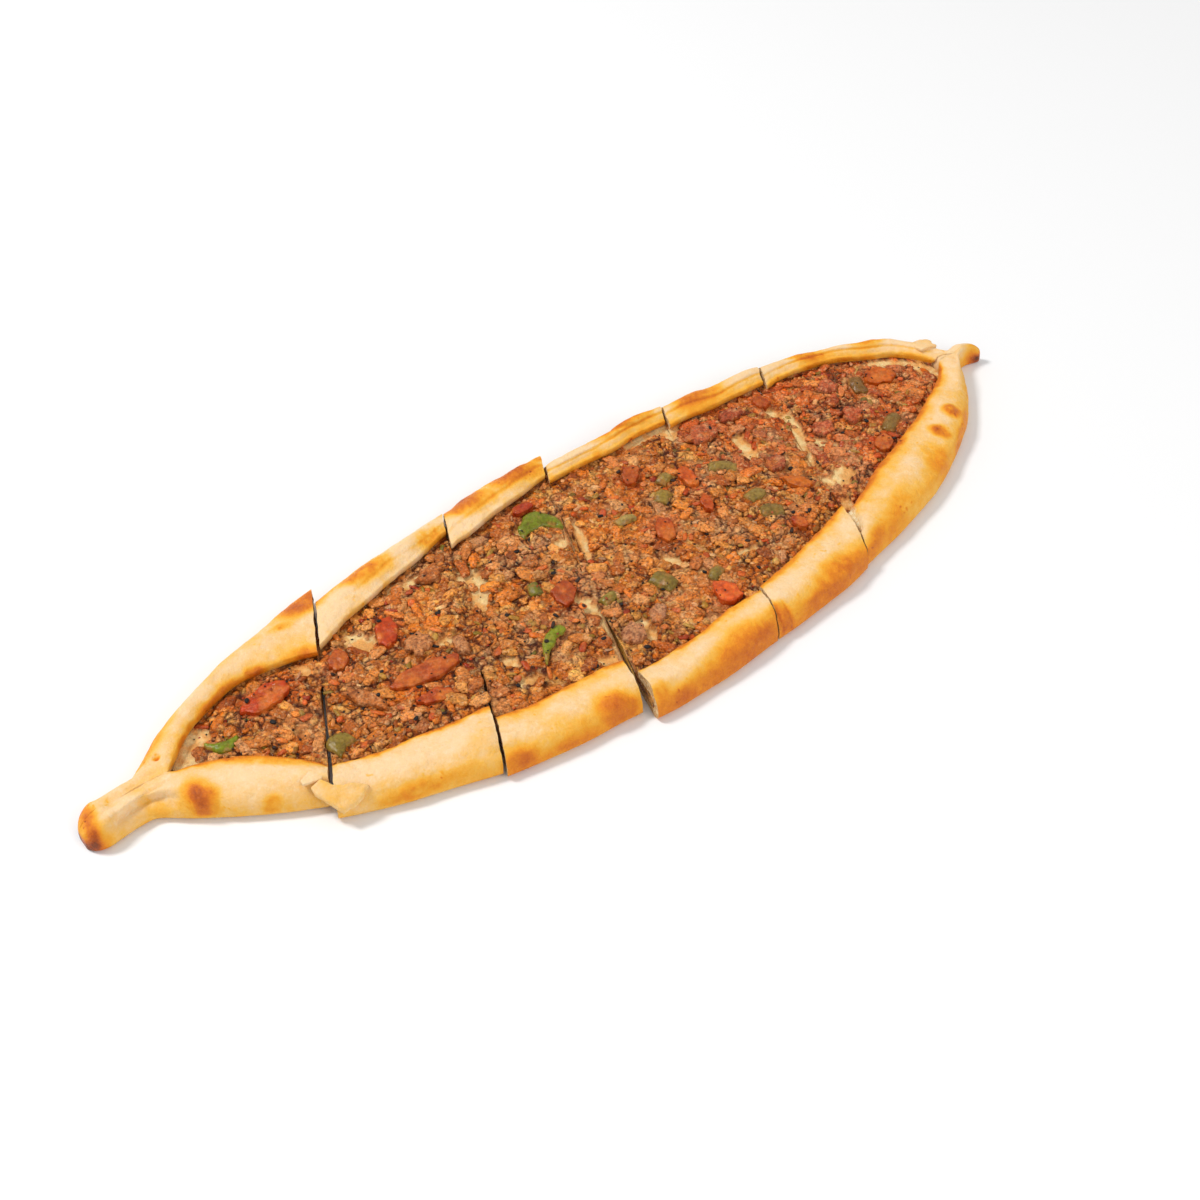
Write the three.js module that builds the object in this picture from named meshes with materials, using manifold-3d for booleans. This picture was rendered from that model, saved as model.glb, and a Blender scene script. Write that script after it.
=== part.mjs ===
// A cut Turkish pide: a long boat of flat bread with folded-over rims, cut across into six
// slices that still lie together, filled with chopped meat, tomato and green pepper.
// Millimetres, +Z up. +X runs from the left tip to the right tip, +Y to the back rim, and
// the origin is under the middle of the whole, on the surface that it lies on.

import * as THREE from 'three';
import { mergeVertices } from 'three/addons/utils/BufferGeometryUtils.js';
import Module from 'manifold-3d';

const wasm = await Module();
wasm.setup();

// ---------------------------------------------------------------- driving dimensions

// Plan of the boat: widest half width, and for each end how far it reaches and how full it is.
const BOAT_HALF_WIDTH = 75.3;
const LEFT_END = { reach: 224.5, power: 1.83, fullness: 0.66 };
const RIGHT_END = { reach: 233.5, power: 2.48, fullness: 0.571 };
const MIDDLE_LINE_AT_ORIGIN = -0.5;
const MIDDLE_LINE_BOW = 7.6;
const BOW_SPAN = 200;

// The pinched tips: a broad twisted stub on the left and a small knob on the right.
const LEFT_STUB = { end: -247.6, start: -212, neckHalf: 10.6, endHalf: 10, roundness: 10, droop: -6 };
const RIGHT_KNOB = { end: 248, start: 222, neckHalf: 5.8, endHalf: 7.5, roundness: 8, droop: -1.4 };
const TIP_BLEND_POWER = 6;

// Dough: heights above the surface it lies on, and thicknesses.
const CREST_HEIGHT = 13;
const SHOULDER_HEIGHT = 12.2;
const LIP_TOP = 11;
const LIP_EDGE = 9.8;
const LIP_UNDERSIDE = 6.9;
const FLAP_UNDERSIDE = 8.5;
const FLOOR_THICKNESS = 3.1;
const WALL_THICKNESS = 4.3;
const FULL_RIM = 14;
const CREST_UNEVENNESS = 1.1;
const EDGE_UNEVENNESS = 0.7;
const LIP_UNEVENNESS = 0.8;

// Filling: its level in the open middle and beside the lips, and its pieces.
const CORE_LEVEL = 7.9;
const LEVEL_AT_LIP = 6.3;
const LEVEL_RISE = 0.32;
const CORE_UNEVENNESS = 0.55;
const CLEARANCE = 0.32;
const TOPPING_BOTTOM = 6.3;
const TOPPING_TOP = 10.4;
const MEAT_SPACING = 15.2;
const MEAT_MARGIN = 1.6;
const MEAT_SIZES = [9.2, 7.4, 5.8];

// How each slice lies (moved back by shift, turned about its middle) and how wide its front
// and back rims are: width at the middle, change along X, and curve.
const SLICES = [
  { middle: -175, shift: 3.0, turn: 0.017, front: [26.8, -0.275, -0.0143], back: [14.6, 0.074, 0.0059] },
  { middle: -105, shift: -2.5, turn: 0.045, front: [27.3, 0.103, 0], back: [20.9, -0.101, 0] },
  { middle: -40, shift: -0.3, turn: 0.076, front: [23.3, -0.02, 0], back: [21.3, -0.093, 0] },
  { middle: 28, shift: -3.0, turn: 0.054, front: [22.0, 0.02, 0], back: [12.7, 0.013, 0] },
  { middle: 94, shift: 0.2, turn: 0.042, front: [27.4, 0.077, 0], back: [16.6, -0.046, 0] },
  { middle: 175, shift: 2.7, turn: 0.013, front: [28.4, -0.079, -0.0023], back: [11.3, -0.034, 0.0052] },
];

// The five knife cuts: where each crosses the X axis, its slant (mm of X for each mm of Y), its
// bow, and the gap it leaves at the front and at the back edge.
const CUTS = [
  { at: -142.5, slant: 0.515, bow: 0, gapFront: 2.4, gapBack: 1.4 },
  { at: -69.8, slant: 0.457, bow: 0, gapFront: 1.6, gapBack: 0.9 },
  { at: -6.5, slant: 0.372, bow: -4, gapFront: 4.6, gapBack: 1.1 },
  { at: 63.3, slant: 0.36, bow: 1, gapFront: 0.9, gapBack: 1 },
  { at: 121.9, slant: 0.37, bow: 1.5, gapFront: 0.8, gapBack: 1.2 },
];
const CUT_HALF_SPAN = 75;

// The inner corners, where the two lips meet.
const LEFT_CORNER = -209.5;
const RIGHT_CORNER = 221.5;
const CORNER_ROUNDNESS = 9;
const CORNER_TAPER = 24;
const CORNER_GAP = 2.2;

// How the hollow is divided along a slice, and how far its cutter runs past what it cuts.
const HOLLOW_STATIONS = 8;
const OVERSHOOT = 6;
const SKY = 30;

// The wedge of rim torn away at the front of the fifth cut, and the loose flap at the first.
const TORN_WEDGE = { apex: [95.5, -73], lipBefore: [108, -37], lipAfter: [121, -31], floor: 8.6 };
const TORN_FLAP = { at: [-158.6, -41], length: 15, width: 9, bottom: 4, top: 12.4, angle: 62 };

// Toppings as large as a berry: slice number, place, length, width and turn in degrees.
const PEPPERS = [
  [1, -183, 11.5, 14, 6, -20], [2, -145.5, -16.5, 11, 9, 20], [3, -6.8, 38.5, 20, 10, -12],
  [3, -46.5, -24.5, 24, 6, 38], [3, -32.5, 6.5, 8, 6, 80], [4, -10.5, -17.5, 9, 5, 15],
  [4, 26.5, 17.5, 10, 5, -10], [4, 15.5, -23.5, 12, 9, -70], [4, 36.5, -34, 9, 6, 20],
  [4, 50, 19.5, 9, 8, 30], [4, 58, 28.5, 8, 6, 20], [5, 85.5, 18.5, 14, 8, -40],
  [5, 84.5, -5.5, 10, 7, 10], [5, 83.5, -18.5, 11, 8, -30], [6, 171.5, -6, 14, 7, 28],
  [6, 178.5, 24.5, 12, 8, 70],
];
const TOMATOES = [
  [1, -156, 23, 26, 13, 5], [2, -97.5, 24, 19, 10, 60], [2, -96.5, -5.5, 32, 11, -5],
  [2, -101.5, -19.5, 17, 8, -15], [2, -122.8, 21.5, 12, 9, 50], [3, -6.5, 51.5, 12, 6, 0],
  [3, -24.5, -4, 16, 12, 60], [4, 32.5, -46, 15, 12, 80], [4, 36.5, 1, 17, 10, 60],
  [4, 67.5, 22, 16, 8, 80], [4, 63, 3.5, 12, 6, 75], [5, 87.5, -33, 9, 6, 90],
  [5, 105.5, -11.5, 16, 8, -60], [5, 131, 43, 10, 8, 80], [6, 191.5, 22.5, 18, 13, -10],
  [6, 157.5, -15.6, 14, 9, 31], [4, 47.5, 39.5, 14, 8, 35],
];
const MEATS = [
  [2, -90.5, 10, 14, 13, 30], [2, -77, -1.5, 13, 8, 72], [2, -125, -3, 26, 7, -62],
  [2, -64, 42, 15, 10, 15], [4, -15.2, -41.5, 14, 12, 40], [4, 0.5, -38.5, 14, 8, 40],
  [5, 92.5, 42, 17, 13, 10], [5, 113.5, 44.5, 15, 9, -5], [5, 107, 5, 12, 10, 20],
  [6, 142.5, 9.5, 14, 11, 20], [6, 160, 9, 12, 11, -30], [6, 165.5, 32.5, 13, 11, 10],
];

// Colours and finishes.
const FINISH = {
  crust: { color: 0xe0b56a, roughness: 0.72 },
  filling: { color: 0xa5694a, roughness: 0.45 },
  pepper: { color: 0x7d8430, roughness: 0.38 },
  tomato: { color: 0xb9512c, roughness: 0.35 },
  meat: { color: 0x9c5a48, roughness: 0.5 },
};

// ---------------------------------------------------------------- small helpers

const clamp = (value, low, high) => Math.min(high, Math.max(low, value));
const mix = (a, b, t) => a + (b - a) * t;

function smooth(edge0, edge1, value) {
  const t = clamp((value - edge0) / (edge1 - edge0), 0, 1);
  return t * t * (3 - 2 * t);
}

// A slow, repeatable wave between about -1 and 1.
function wave(x, seed) {
  return 0.6 * Math.sin(x / 13 + seed * 1.7) + 0.4 * Math.sin(x / 5.9 + seed * 3.1);
}

function seededRandom(seed) {
  let state = seed >>> 0;
  return () => {
    state = (state + 0x6d2b79f5) >>> 0;
    let t = state;
    t = Math.imul(t ^ (t >>> 15), t | 1);
    t ^= t + Math.imul(t ^ (t >>> 7), t | 61);
    return ((t ^ (t >>> 14)) >>> 0) / 4294967296;
  };
}

// ---------------------------------------------------------------- plan of the boat

function boatHalf(x) {
  const end = x < 0 ? LEFT_END : RIGHT_END;
  const part = clamp(Math.abs(x) / end.reach, 0, 1);
  return BOAT_HALF_WIDTH * (1 - part ** end.power) ** end.fullness;
}

function tipHalf(x, tip) {
  const side = Math.sign(tip.end);
  const fromEnd = clamp((tip.end - x) * side, 0, tip.roundness) / tip.roundness;
  const along = smooth(tip.start * side, (tip.end * side + tip.start * side) / 2, x * side);
  return mix(tip.neckHalf, tip.endHalf, along) * Math.sqrt(1 - (1 - fromEnd) ** 2);
}

function outlineHalf(x) {
  const tip = x < 0 ? LEFT_STUB : RIGHT_KNOB;
  const sum = boatHalf(x) ** TIP_BLEND_POWER + tipHalf(x, tip) ** TIP_BLEND_POWER;
  return sum ** (1 / TIP_BLEND_POWER);
}

function middleLine(x) {
  const tip = x < 0 ? LEFT_STUB : RIGHT_KNOB;
  const along = clamp((x - tip.start) / (tip.end - tip.start), 0, 1);
  return MIDDLE_LINE_AT_ORIGIN + MIDDLE_LINE_BOW * (x / BOW_SPAN) ** 2 + tip.droop * along ** 1.5;
}

// The outer edge of a slice at x; side is -1 for the front and 1 for the back.
function outerEdge(slice, x, side) {
  const lying = slice.shift + slice.turn * (x - slice.middle);
  return middleLine(x) + side * outlineHalf(x) + lying + EDGE_UNEVENNESS * 0.6 * wave(x, side + 4);
}

function rimWidth(slice, x, side) {
  const [width, change, curve] = side < 0 ? slice.front : slice.back;
  const u = x - slice.middle;
  return width + change * u + curve * u * u + LIP_UNEVENNESS * wave(x * 1.3, side + 8);
}

// How far the two lips are opened: 0 at an inner corner, 1 away from it.
function opened(x) {
  const fromCorner = Math.min(x - LEFT_CORNER, RIGHT_CORNER - x);
  const part = clamp(fromCorner / CORNER_ROUNDNESS, 0, 1);
  return Math.sqrt(1 - (1 - part) ** 2);
}

// Front and back lip at x: they meet in the middle beyond the inner corners.
function lips(slice, x) {
  const front = outerEdge(slice, x, -1) + rimWidth(slice, x, -1);
  const back = outerEdge(slice, x, 1) - rimWidth(slice, x, 1);
  const centre = mix(middleLine(x) + slice.shift, (front + back) / 2, smooth(0, 1, opened(x)));
  const half = Math.max((back - front) / 2, 0) * opened(x);
  return { front: centre - half, back: centre + half };
}

// ---------------------------------------------------------------- station lines

// A station line crosses the boat at s on the X axis, slanted like the nearest cuts.
function slantAt(s) {
  const knots = [{ at: LEFT_STUB.end, slant: 0, bow: 0 }, ...CUTS, { at: RIGHT_KNOB.end, slant: 0, bow: 0 }];
  const last = knots.findIndex((knot, i) => i > 0 && s <= knot.at);
  const i = last < 0 ? knots.length - 1 : last;
  const t = clamp((s - knots[i - 1].at) / (knots[i].at - knots[i - 1].at), 0, 1);
  return {
    slant: mix(knots[i - 1].slant, knots[i].slant, t),
    bow: mix(knots[i - 1].bow, knots[i].bow, t),
  };
}

function stationX(s, y) {
  const { slant, bow } = slantAt(s);
  return s + slant * y + bow * (1 - (y / CUT_HALF_SPAN) ** 2);
}

// Where a line given as a function of x crosses the station line.
function crossing(s, lineAt) {
  let y = lineAt(s);
  for (let i = 0; i < 12; i += 1) y = mix(y, lineAt(stationX(s, y)), 0.7);
  return y;
}

function station(slice, s) {
  const front = crossing(s, (x) => outerEdge(slice, x, -1));
  const back = crossing(s, (x) => outerEdge(slice, x, 1));
  const lipFront = crossing(s, (x) => lips(slice, x).front);
  const lipBack = crossing(s, (x) => lips(slice, x).back);
  const half = (back - front) / 2;
  const middle = (front + back) / 2;
  return {
    s, front, back,
    lipFront: clamp(lipFront, front + half * 0.12, middle + half * 0.6),
    lipBack: clamp(lipBack, middle - half * 0.6, back - half * 0.12),
  };
}

// Stations of one slice from cut to cut; the share of the gap taken off changes along the cut.
function stationsOf(index, count) {
  const slice = SLICES[index];
  const from = index === 0 ? LEFT_STUB.end + 0.5 : CUTS[index - 1].at;
  const to = index === CUTS.length ? RIGHT_KNOB.end - 0.5 : CUTS[index].at;
  return Array.from({ length: count }, (_, i) => {
    let t = i / (count - 1);
    if (index === 0) t = t ** 1.35;
    if (index === CUTS.length) t = 1 - (1 - t) ** 1.35;
    return station(slice, mix(from, to, t));
  });
}

// The share of a cut's gap that a point at y gives up, moving away from the cut.
function gapShift(index, s, y) {
  const give = (cut, direction) => {
    const near = smooth(14, 0, Math.abs(s - cut.at));
    const t = clamp((y + CUT_HALF_SPAN) / (2 * CUT_HALF_SPAN), 0, 1);
    return direction * near * mix(cut.gapFront, cut.gapBack, t) / 2;
  };
  const before = index > 0 ? give(CUTS[index - 1], 1) : 0;
  const after = index < CUTS.length ? give(CUTS[index], -1) : 0;
  return before + after;
}

// ---------------------------------------------------------------- solids from rings

// Joins rings of points, all with as many points, into one closed body.
function loft(rings) {
  const count = rings[0].length;
  const positions = rings.flat().flatMap((p) => [p.x, p.y, p.z]);
  const faces = [];
  for (let i = 0; i + 1 < rings.length; i += 1) {
    for (let j = 0; j < count; j += 1) {
      const a = i * count + j;
      const b = i * count + ((j + 1) % count);
      faces.push([a, b, b + count], [a, b + count, a + count]);
    }
  }
  for (const [ring, first] of [[rings[0], 0], [rings.at(-1), (rings.length - 1) * count]]) {
    const outline = ring.map((p) => new THREE.Vector2(p.u ?? p.y, p.v ?? p.z));
    const cap = THREE.ShapeUtils.triangulateShape(outline, []);
    const outward = first === 0 ? 1 : -1;
    for (const [a, b, c] of cap) {
      faces.push(outward > 0 ? [first + c, first + b, first + a] : [first + a, first + b, first + c]);
    }
  }
  return closedBody(positions, faces);
}

// A manifold from positions and faces, turned to face out.
function closedBody(positions, faces) {
  const corner = (i) => new THREE.Vector3(positions[3 * i], positions[3 * i + 1], positions[3 * i + 2]);
  let volume = 0;
  for (const [a, b, c] of faces) volume += corner(a).dot(corner(b).clone().cross(corner(c)));
  const turned = volume < 0 ? faces.map(([a, b, c]) => [a, c, b]) : faces;
  return new wasm.Manifold(new wasm.Mesh({
    numProp: 3,
    vertProperties: new Float32Array(positions),
    triVerts: new Uint32Array(turned.flat()),
  }));
}

// The body without the loose scraps that a cut can leave.
function largestPiece(body) {
  return body.decompose().reduce((a, b) => (b.volume() > a.volume() ? b : a));
}

// ---------------------------------------------------------------- dough

// Outer outline of the dough across a station, from the front foot round to the front side.
function doughSection(at) {
  const half = (at.back - at.front) / 2;
  const k = Math.min(1, half / FULL_RIM);
  const low = tipHeight(at.s);
  const side = (edge, lip, direction, seed) => {
    const width = (lip - edge) * direction;
    const crest = CREST_HEIGHT + CREST_UNEVENNESS * wave(at.s * 1.1, seed);
    return [
      [edge + direction * 1.1 * k, 0.9], [edge, 3], [edge + direction * 0.8 * k, 6.5],
      [edge + direction * 3.5 * k, 10.2], [edge + direction * 0.4 * width, crest],
      [edge + direction * 0.7 * width, mix(SHOULDER_HEIGHT, crest, 0.4)],
      [lip - direction * 1.2 * k, LIP_TOP],
    ];
  };
  const front = side(at.front, at.lipFront, 1, 1);
  const back = side(at.back, at.lipBack, -1, 6);
  const foot = 3.4 * k;
  const outline = [[at.front + foot, 0], [at.back - foot, 0], ...back, ...front.reverse()];
  return outline.map(([y, z]) => ({ y, z: z * low }));
}

// The dough thins to nothing at the rounded tips.
function tipHeight(s) {
  const tip = s < 0 ? LEFT_STUB : RIGHT_KNOB;
  const part = clamp(Math.abs(tip.end - s) / tip.roundness, 0, 1);
  return mix(0.42, 1, Math.sqrt(1 - (1 - part) ** 2)) * mix(1, 0.92, smooth(195, 215, Math.abs(s)));
}

// The hollow under and between the flaps, inset all round; top gives its upper points.
function hollowSection(at, inset, topPoints) {
  const taper = clamp(Math.min(at.s - LEFT_CORNER, RIGHT_CORNER - at.s) / CORNER_TAPER, 0.02, 1);
  const side = (edge, lip, direction) => {
    const reach = Math.max((lip - edge) * direction - WALL_THICKNESS, 1) * Math.sqrt(taper);
    const wall = lip - direction * (reach - inset);
    return [
      [wall + direction * Math.min(2.2, reach * 0.2), FLOOR_THICKNESS + inset],
      [wall, FLOOR_THICKNESS + 1.2 + inset], [wall, 6],
      [wall + direction * Math.min(2.6, reach * 0.3), FLAP_UNDERSIDE - inset],
      [lip - direction * (Math.min(0.8, reach * 0.1) - inset * 0.6), LIP_UNDERSIDE - inset],
    ];
  };
  const front = side(at.front, at.lipFront, 1);
  const back = side(at.back, at.lipBack, -1);
  return [...front.reverse(), ...back, ...topPoints].map(([y, z]) => ({ y, z }));
}

function placed(index, at, section) {
  return section.map(({ y, z }) => ({ x: stationX(at.s, y) + gapShift(index, at.s, y), y, z, u: y, v: z }));
}

function doughBody(index) {
  const atTip = index === 0 || index === CUTS.length;
  const rings = stationsOf(index, atTip ? 15 : 9).map((at) => placed(index, at, doughSection(at)));
  return loft(rings);
}

// Stations of the hollow of one slice, from cut to cut or from an inner corner.
function hollowStations(index) {
  const from = index === 0 ? LEFT_CORNER + CORNER_GAP : CUTS[index - 1].at;
  const to = index === CUTS.length ? RIGHT_CORNER - CORNER_GAP : CUTS[index].at;
  return Array.from({ length: HOLLOW_STATIONS }, (_, i) => {
    let t = i / (HOLLOW_STATIONS - 1);
    if (index === 0) t = t ** 1.5;
    if (index === CUTS.length) t = 1 - (1 - t) ** 1.5;
    return station(SLICES[index], mix(from, to, t));
  });
}

// The hollow as a cutter: it runs on past the end faces of the dough and up through the opening.
function hollowBody(index) {
  const along = hollowStations(index);
  const past = (s, distance) => station(SLICES[index], s + distance);
  along.unshift(past(along[0].s, index === 0 ? -CORNER_GAP * 0.8 : -OVERSHOOT));
  along.push(past(along.at(-1).s, index === CUTS.length ? CORNER_GAP * 0.8 : OVERSHOOT));
  const rings = along.map((at) => {
    const top = [[at.lipBack, LIP_EDGE], [at.lipBack, SKY], [at.lipFront, SKY], [at.lipFront, LIP_EDGE]];
    return placed(index, at, hollowSection(at, 0, top));
  });
  return loft(rings);
}

function crustBody(index) {
  let body = doughBody(index).subtract(hollowBody(index));
  if (index === 1) body = body.add(lump(TORN_FLAP, 8, 21, 0));
  if (index === 5) body = body.subtract(wedgeBody());
  return body;
}

function wedgeBody() {
  const { apex, lipBefore, lipAfter, floor } = TORN_WEDGE;
  const plan = [apex, lipAfter, [lipAfter[0] - 2, lipAfter[1] + 6], lipBefore, [apex[0] - 6, apex[1] + 2]];
  const ring = (z) => plan.map(([x, y]) => ({ x, y, z, u: x, v: y }));
  return loft([ring(floor), ring(SKY)]);
}

// ---------------------------------------------------------------- filling

function coreLevel(x, y, fromLip) {
  const rise = clamp(LEVEL_AT_LIP + fromLip * LEVEL_RISE, LEVEL_AT_LIP, CORE_LEVEL);
  const rough = wave(x * 1.6 + y * 0.7, 2) + wave(y * 1.9 - x * 0.4, 5);
  return rise + CORE_UNEVENNESS * rough * smooth(0, 6, fromLip);
}

const CORE_STEPS = 7;

function coreBody(index) {
  const rings = hollowStations(index).map((at) => {
    const top = Array.from({ length: CORE_STEPS }, (_, j) => {
      const y = mix(at.lipBack, at.lipFront, (j + 1) / (CORE_STEPS + 1));
      const fromLip = Math.min(at.lipBack - y, y - at.lipFront);
      return [y, coreLevel(stationX(at.s, y), y, fromLip)];
    });
    return placed(index, at, hollowSection(at, CLEARANCE, top));
  });
  return loft(rings);
}

// A flat, uneven lump: three rings of points with a closed top and bottom.
function lump(spec, sides, seed, grow) {
  const random = seededRandom(seed);
  const turn = THREE.MathUtils.degToRad(spec.angle);
  const radii = Array.from({ length: sides }, () => 0.84 + 0.26 * random());
  const ring = (size, z) => radii.map((radius, i) => {
    const angle = (2 * Math.PI * (i + 0.5)) / sides;
    const u = Math.cos(angle) * (radius * size * spec.length / 2 + grow);
    const v = Math.sin(angle) * (radius * size * spec.width / 2 + grow);
    return {
      x: spec.at[0] + u * Math.cos(turn) - v * Math.sin(turn),
      y: spec.at[1] + u * Math.sin(turn) + v * Math.cos(turn),
      z, u, v,
    };
  });
  const middle = mix(spec.bottom, spec.top, 0.5);
  return loft([ring(0.8, spec.bottom - grow), ring(1, middle), ring(0.72, spec.top + grow)]);
}

// A strip of pepper: a bent bar with a rounded section, hollow side down.
function strip(spec, grow) {
  const turn = THREE.MathUtils.degToRad(spec.angle);
  const stations = 4;
  const rings = Array.from({ length: stations }, (_, i) => {
    const t = (i / (stations - 1)) * 2 - 1;
    const u = t * (spec.length / 2 + grow);
    const bend = spec.width * 0.18 * (1 - 2 * t * t);
    const half = (spec.width / 2) * (0.92 - 0.42 * t * t) + grow;
    const top = spec.top - 0.9 * t * t + grow;
    const section = [[-half, spec.bottom - grow], [half, spec.bottom - grow], [half, top - 1.3],
      [0, top], [-half, top - 1.3]];
    return section.map(([v, z]) => ({
      x: spec.at[0] + u * Math.cos(turn) - (v + bend) * Math.sin(turn),
      y: spec.at[1] + u * Math.sin(turn) + (v + bend) * Math.cos(turn),
      z, u: v, v: z,
    }));
  });
  return loft(rings);
}

function toppingSpec([slice, x, y, length, width, angle]) {
  return { slice, at: [x, y], length, width, angle, bottom: TOPPING_BOTTOM, top: TOPPING_TOP };
}

// Every large topping: its name, its slice, and its body when grown by a clearance.
const TOPPINGS = [
  ...PEPPERS.map(toppingSpec).map((spec, i) => ({
    name: `pepper_${i + 1}`, kind: 'pepper', spec, body: (grow) => strip(spec, grow),
  })),
  ...TOMATOES.map(toppingSpec).map((spec, i) => ({
    name: `tomato_${i + 1}`, kind: 'tomato', spec, body: (grow) => lump(spec, 7, 100 + i, grow),
  })),
  ...MEATS.map(toppingSpec).map((spec, i) => ({
    name: `meat_${i + 1}`, kind: 'meat', spec, body: (grow) => lump(spec, 6, 200 + i, grow),
  })),
];

function nearTopping(x, y, room) {
  return TOPPINGS.some(({ spec }) => {
    const turn = THREE.MathUtils.degToRad(spec.angle);
    const dx = x - spec.at[0];
    const dy = y - spec.at[1];
    const u = dx * Math.cos(turn) + dy * Math.sin(turn);
    const v = dy * Math.cos(turn) - dx * Math.sin(turn);
    return Math.abs(u) < spec.length * 0.56 + room && Math.abs(v) < spec.width * 0.56 + room;
  });
}

// One chopped piece of meat: an uneven twenty-sided lump.
function meatPiece(x, y, z, size, random) {
  const shape = new THREE.IcosahedronGeometry(1, 0);
  shape.deleteAttribute('normal');
  shape.deleteAttribute('uv');
  const merged = mergeVertices(shape);
  const turn = random() * Math.PI;
  const half = [size * 0.62, size * (0.36 + 0.14 * random()), size * 0.3];
  const points = merged.attributes.position;
  const positions = [];
  for (let i = 0; i < points.count; i += 1) {
    const jitter = 0.82 + 0.36 * random();
    const u = points.getX(i) * half[0] * jitter;
    const v = points.getY(i) * half[1] * jitter;
    positions.push(x + u * Math.cos(turn) - v * Math.sin(turn));
    positions.push(y + u * Math.sin(turn) + v * Math.cos(turn), z + points.getZ(i) * half[2] * jitter);
  }
  const faces = [];
  const index = merged.index.array;
  for (let i = 0; i < index.length; i += 3) faces.push([index[i], index[i + 1], index[i + 2]]);
  return closedBody(positions, faces);
}

// Places for the chopped pieces of one slice: as evenly spread as chance allows, the largest
// first, clear of the lips, the cuts and the large toppings.
function meatPlaces(index, random) {
  const places = [];
  const along = hollowStations(index);
  const ends = [along[0], along.at(-1)];
  for (let tries = 0; tries < 900; tries += 1) {
    const s = mix(ends[0].s, ends[1].s, random());
    const at = station(SLICES[index], s);
    const y = mix(at.lipFront, at.lipBack, random());
    const x = stationX(s, y);
    const size = MEAT_SIZES[Math.min(MEAT_SIZES.length - 1, Math.floor(tries / 300))];
    const room = MEAT_MARGIN + size * 0.62;
    const fromLip = Math.min(at.lipBack - y, y - at.lipFront);
    const fromCut = Math.min(...CUTS.map((cut) => Math.abs(s - cut.at)));
    if (fromLip < room || fromCut < room || nearTopping(x, y, size * 0.5)) continue;
    const apart = MEAT_SPACING * (size / MEAT_SIZES[0]) ** 0.5;
    if (places.some((place) => Math.hypot(place.x - x, place.y - y) < apart)) continue;
    places.push({ x, y, size, level: coreLevel(x, y, fromLip) });
  }
  return places;
}

function fillingBody(index) {
  const random = seededRandom(500 + index);
  let body = coreBody(index);
  for (const { x, y, size, level } of meatPlaces(index, random)) {
    body = body.add(meatPiece(x, y, level + 0.4, size, random));
  }
  for (const topping of TOPPINGS.filter(({ spec }) => spec.slice === index + 1)) {
    body = body.subtract(topping.body(CLEARANCE));
  }
  if (index === 1) body = body.subtract(lump(TORN_FLAP, 8, 21, CLEARANCE));
  return largestPiece(body);
}

// ---------------------------------------------------------------- the whole

function meshFrom(name, body, finish) {
  const { vertProperties, triVerts } = body.getMesh();
  const geometry = new THREE.BufferGeometry();
  geometry.setAttribute('position', new THREE.BufferAttribute(vertProperties, 3));
  geometry.setIndex(new THREE.BufferAttribute(triVerts, 1));
  geometry.computeVertexNormals();
  const mesh = new THREE.Mesh(geometry, new THREE.MeshStandardMaterial({ ...finish, metalness: 0 }));
  mesh.name = name;
  return mesh;
}

const pide = new THREE.Group();
SLICES.forEach((_, index) => {
  pide.add(meshFrom(`crust_${index + 1}`, crustBody(index), FINISH.crust));
  pide.add(meshFrom(`filling_${index + 1}`, fillingBody(index), FINISH.filling));
});
for (const topping of TOPPINGS) {
  pide.add(meshFrom(topping.name, topping.body(0), FINISH[topping.kind]));
}

export default pide;
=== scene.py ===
"""Looks of a cut Turkish pide: browned dough, chopped meat filling, tomato and pepper.

Sizes are in millimetres until a mesh is made; Blender gets metres. The axes are the frame's:
+X from the broad tip to the small knob, +Y to the back rim, +Z up.
"""

from __future__ import annotations

import logging
import math
from collections.abc import Iterator
from contextlib import contextmanager
from dataclasses import dataclass, field
from enum import Enum

import bmesh
import bpy
import numpy as np
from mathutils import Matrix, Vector

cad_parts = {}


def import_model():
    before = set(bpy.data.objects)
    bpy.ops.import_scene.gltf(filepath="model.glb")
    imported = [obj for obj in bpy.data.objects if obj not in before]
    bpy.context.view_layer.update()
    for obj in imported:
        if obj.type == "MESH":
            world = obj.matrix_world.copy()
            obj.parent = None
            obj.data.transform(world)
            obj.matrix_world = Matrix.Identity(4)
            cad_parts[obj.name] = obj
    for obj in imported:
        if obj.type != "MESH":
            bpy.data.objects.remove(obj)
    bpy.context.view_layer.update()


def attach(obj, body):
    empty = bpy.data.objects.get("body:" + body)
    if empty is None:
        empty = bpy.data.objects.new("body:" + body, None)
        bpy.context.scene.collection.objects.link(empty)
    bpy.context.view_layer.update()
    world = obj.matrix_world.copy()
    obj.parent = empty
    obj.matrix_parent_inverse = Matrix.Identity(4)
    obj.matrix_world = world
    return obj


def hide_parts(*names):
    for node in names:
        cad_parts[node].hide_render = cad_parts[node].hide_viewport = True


LOG = logging.getLogger("pide")
WORD = 0xFFFFFFFF
MM = 0.001
MERGE = 1e-5
Array = np.ndarray
Piece = bpy.types.Object
Material = bpy.types.Material
Socket = bpy.types.NodeSocket
Colour = tuple[float, float, float]
Pair = tuple[float, float]


def srgb(red: float, green: float, blue: float) -> Colour:
    """Turns a colour of 0 to 255 display values into linear light.

    Args:
        red: Red, 0 to 255.
        green: Green, 0 to 255.
        blue: Blue, 0 to 255.

    Returns:
        The same colour as linear values, 0 to 1.
    """
    def one(value: float) -> float:
        part = value / 255.0
        return part / 12.92 if part <= 0.04045 else ((part + 0.055) / 1.055) ** 2.4
    return one(red), one(green), one(blue)


def colours(*rows: tuple[float, float, float]) -> tuple[Colour, ...]:
    """Turns colours of 0 to 255 display values into linear light."""
    return tuple(srgb(*row) for row in rows)


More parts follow.
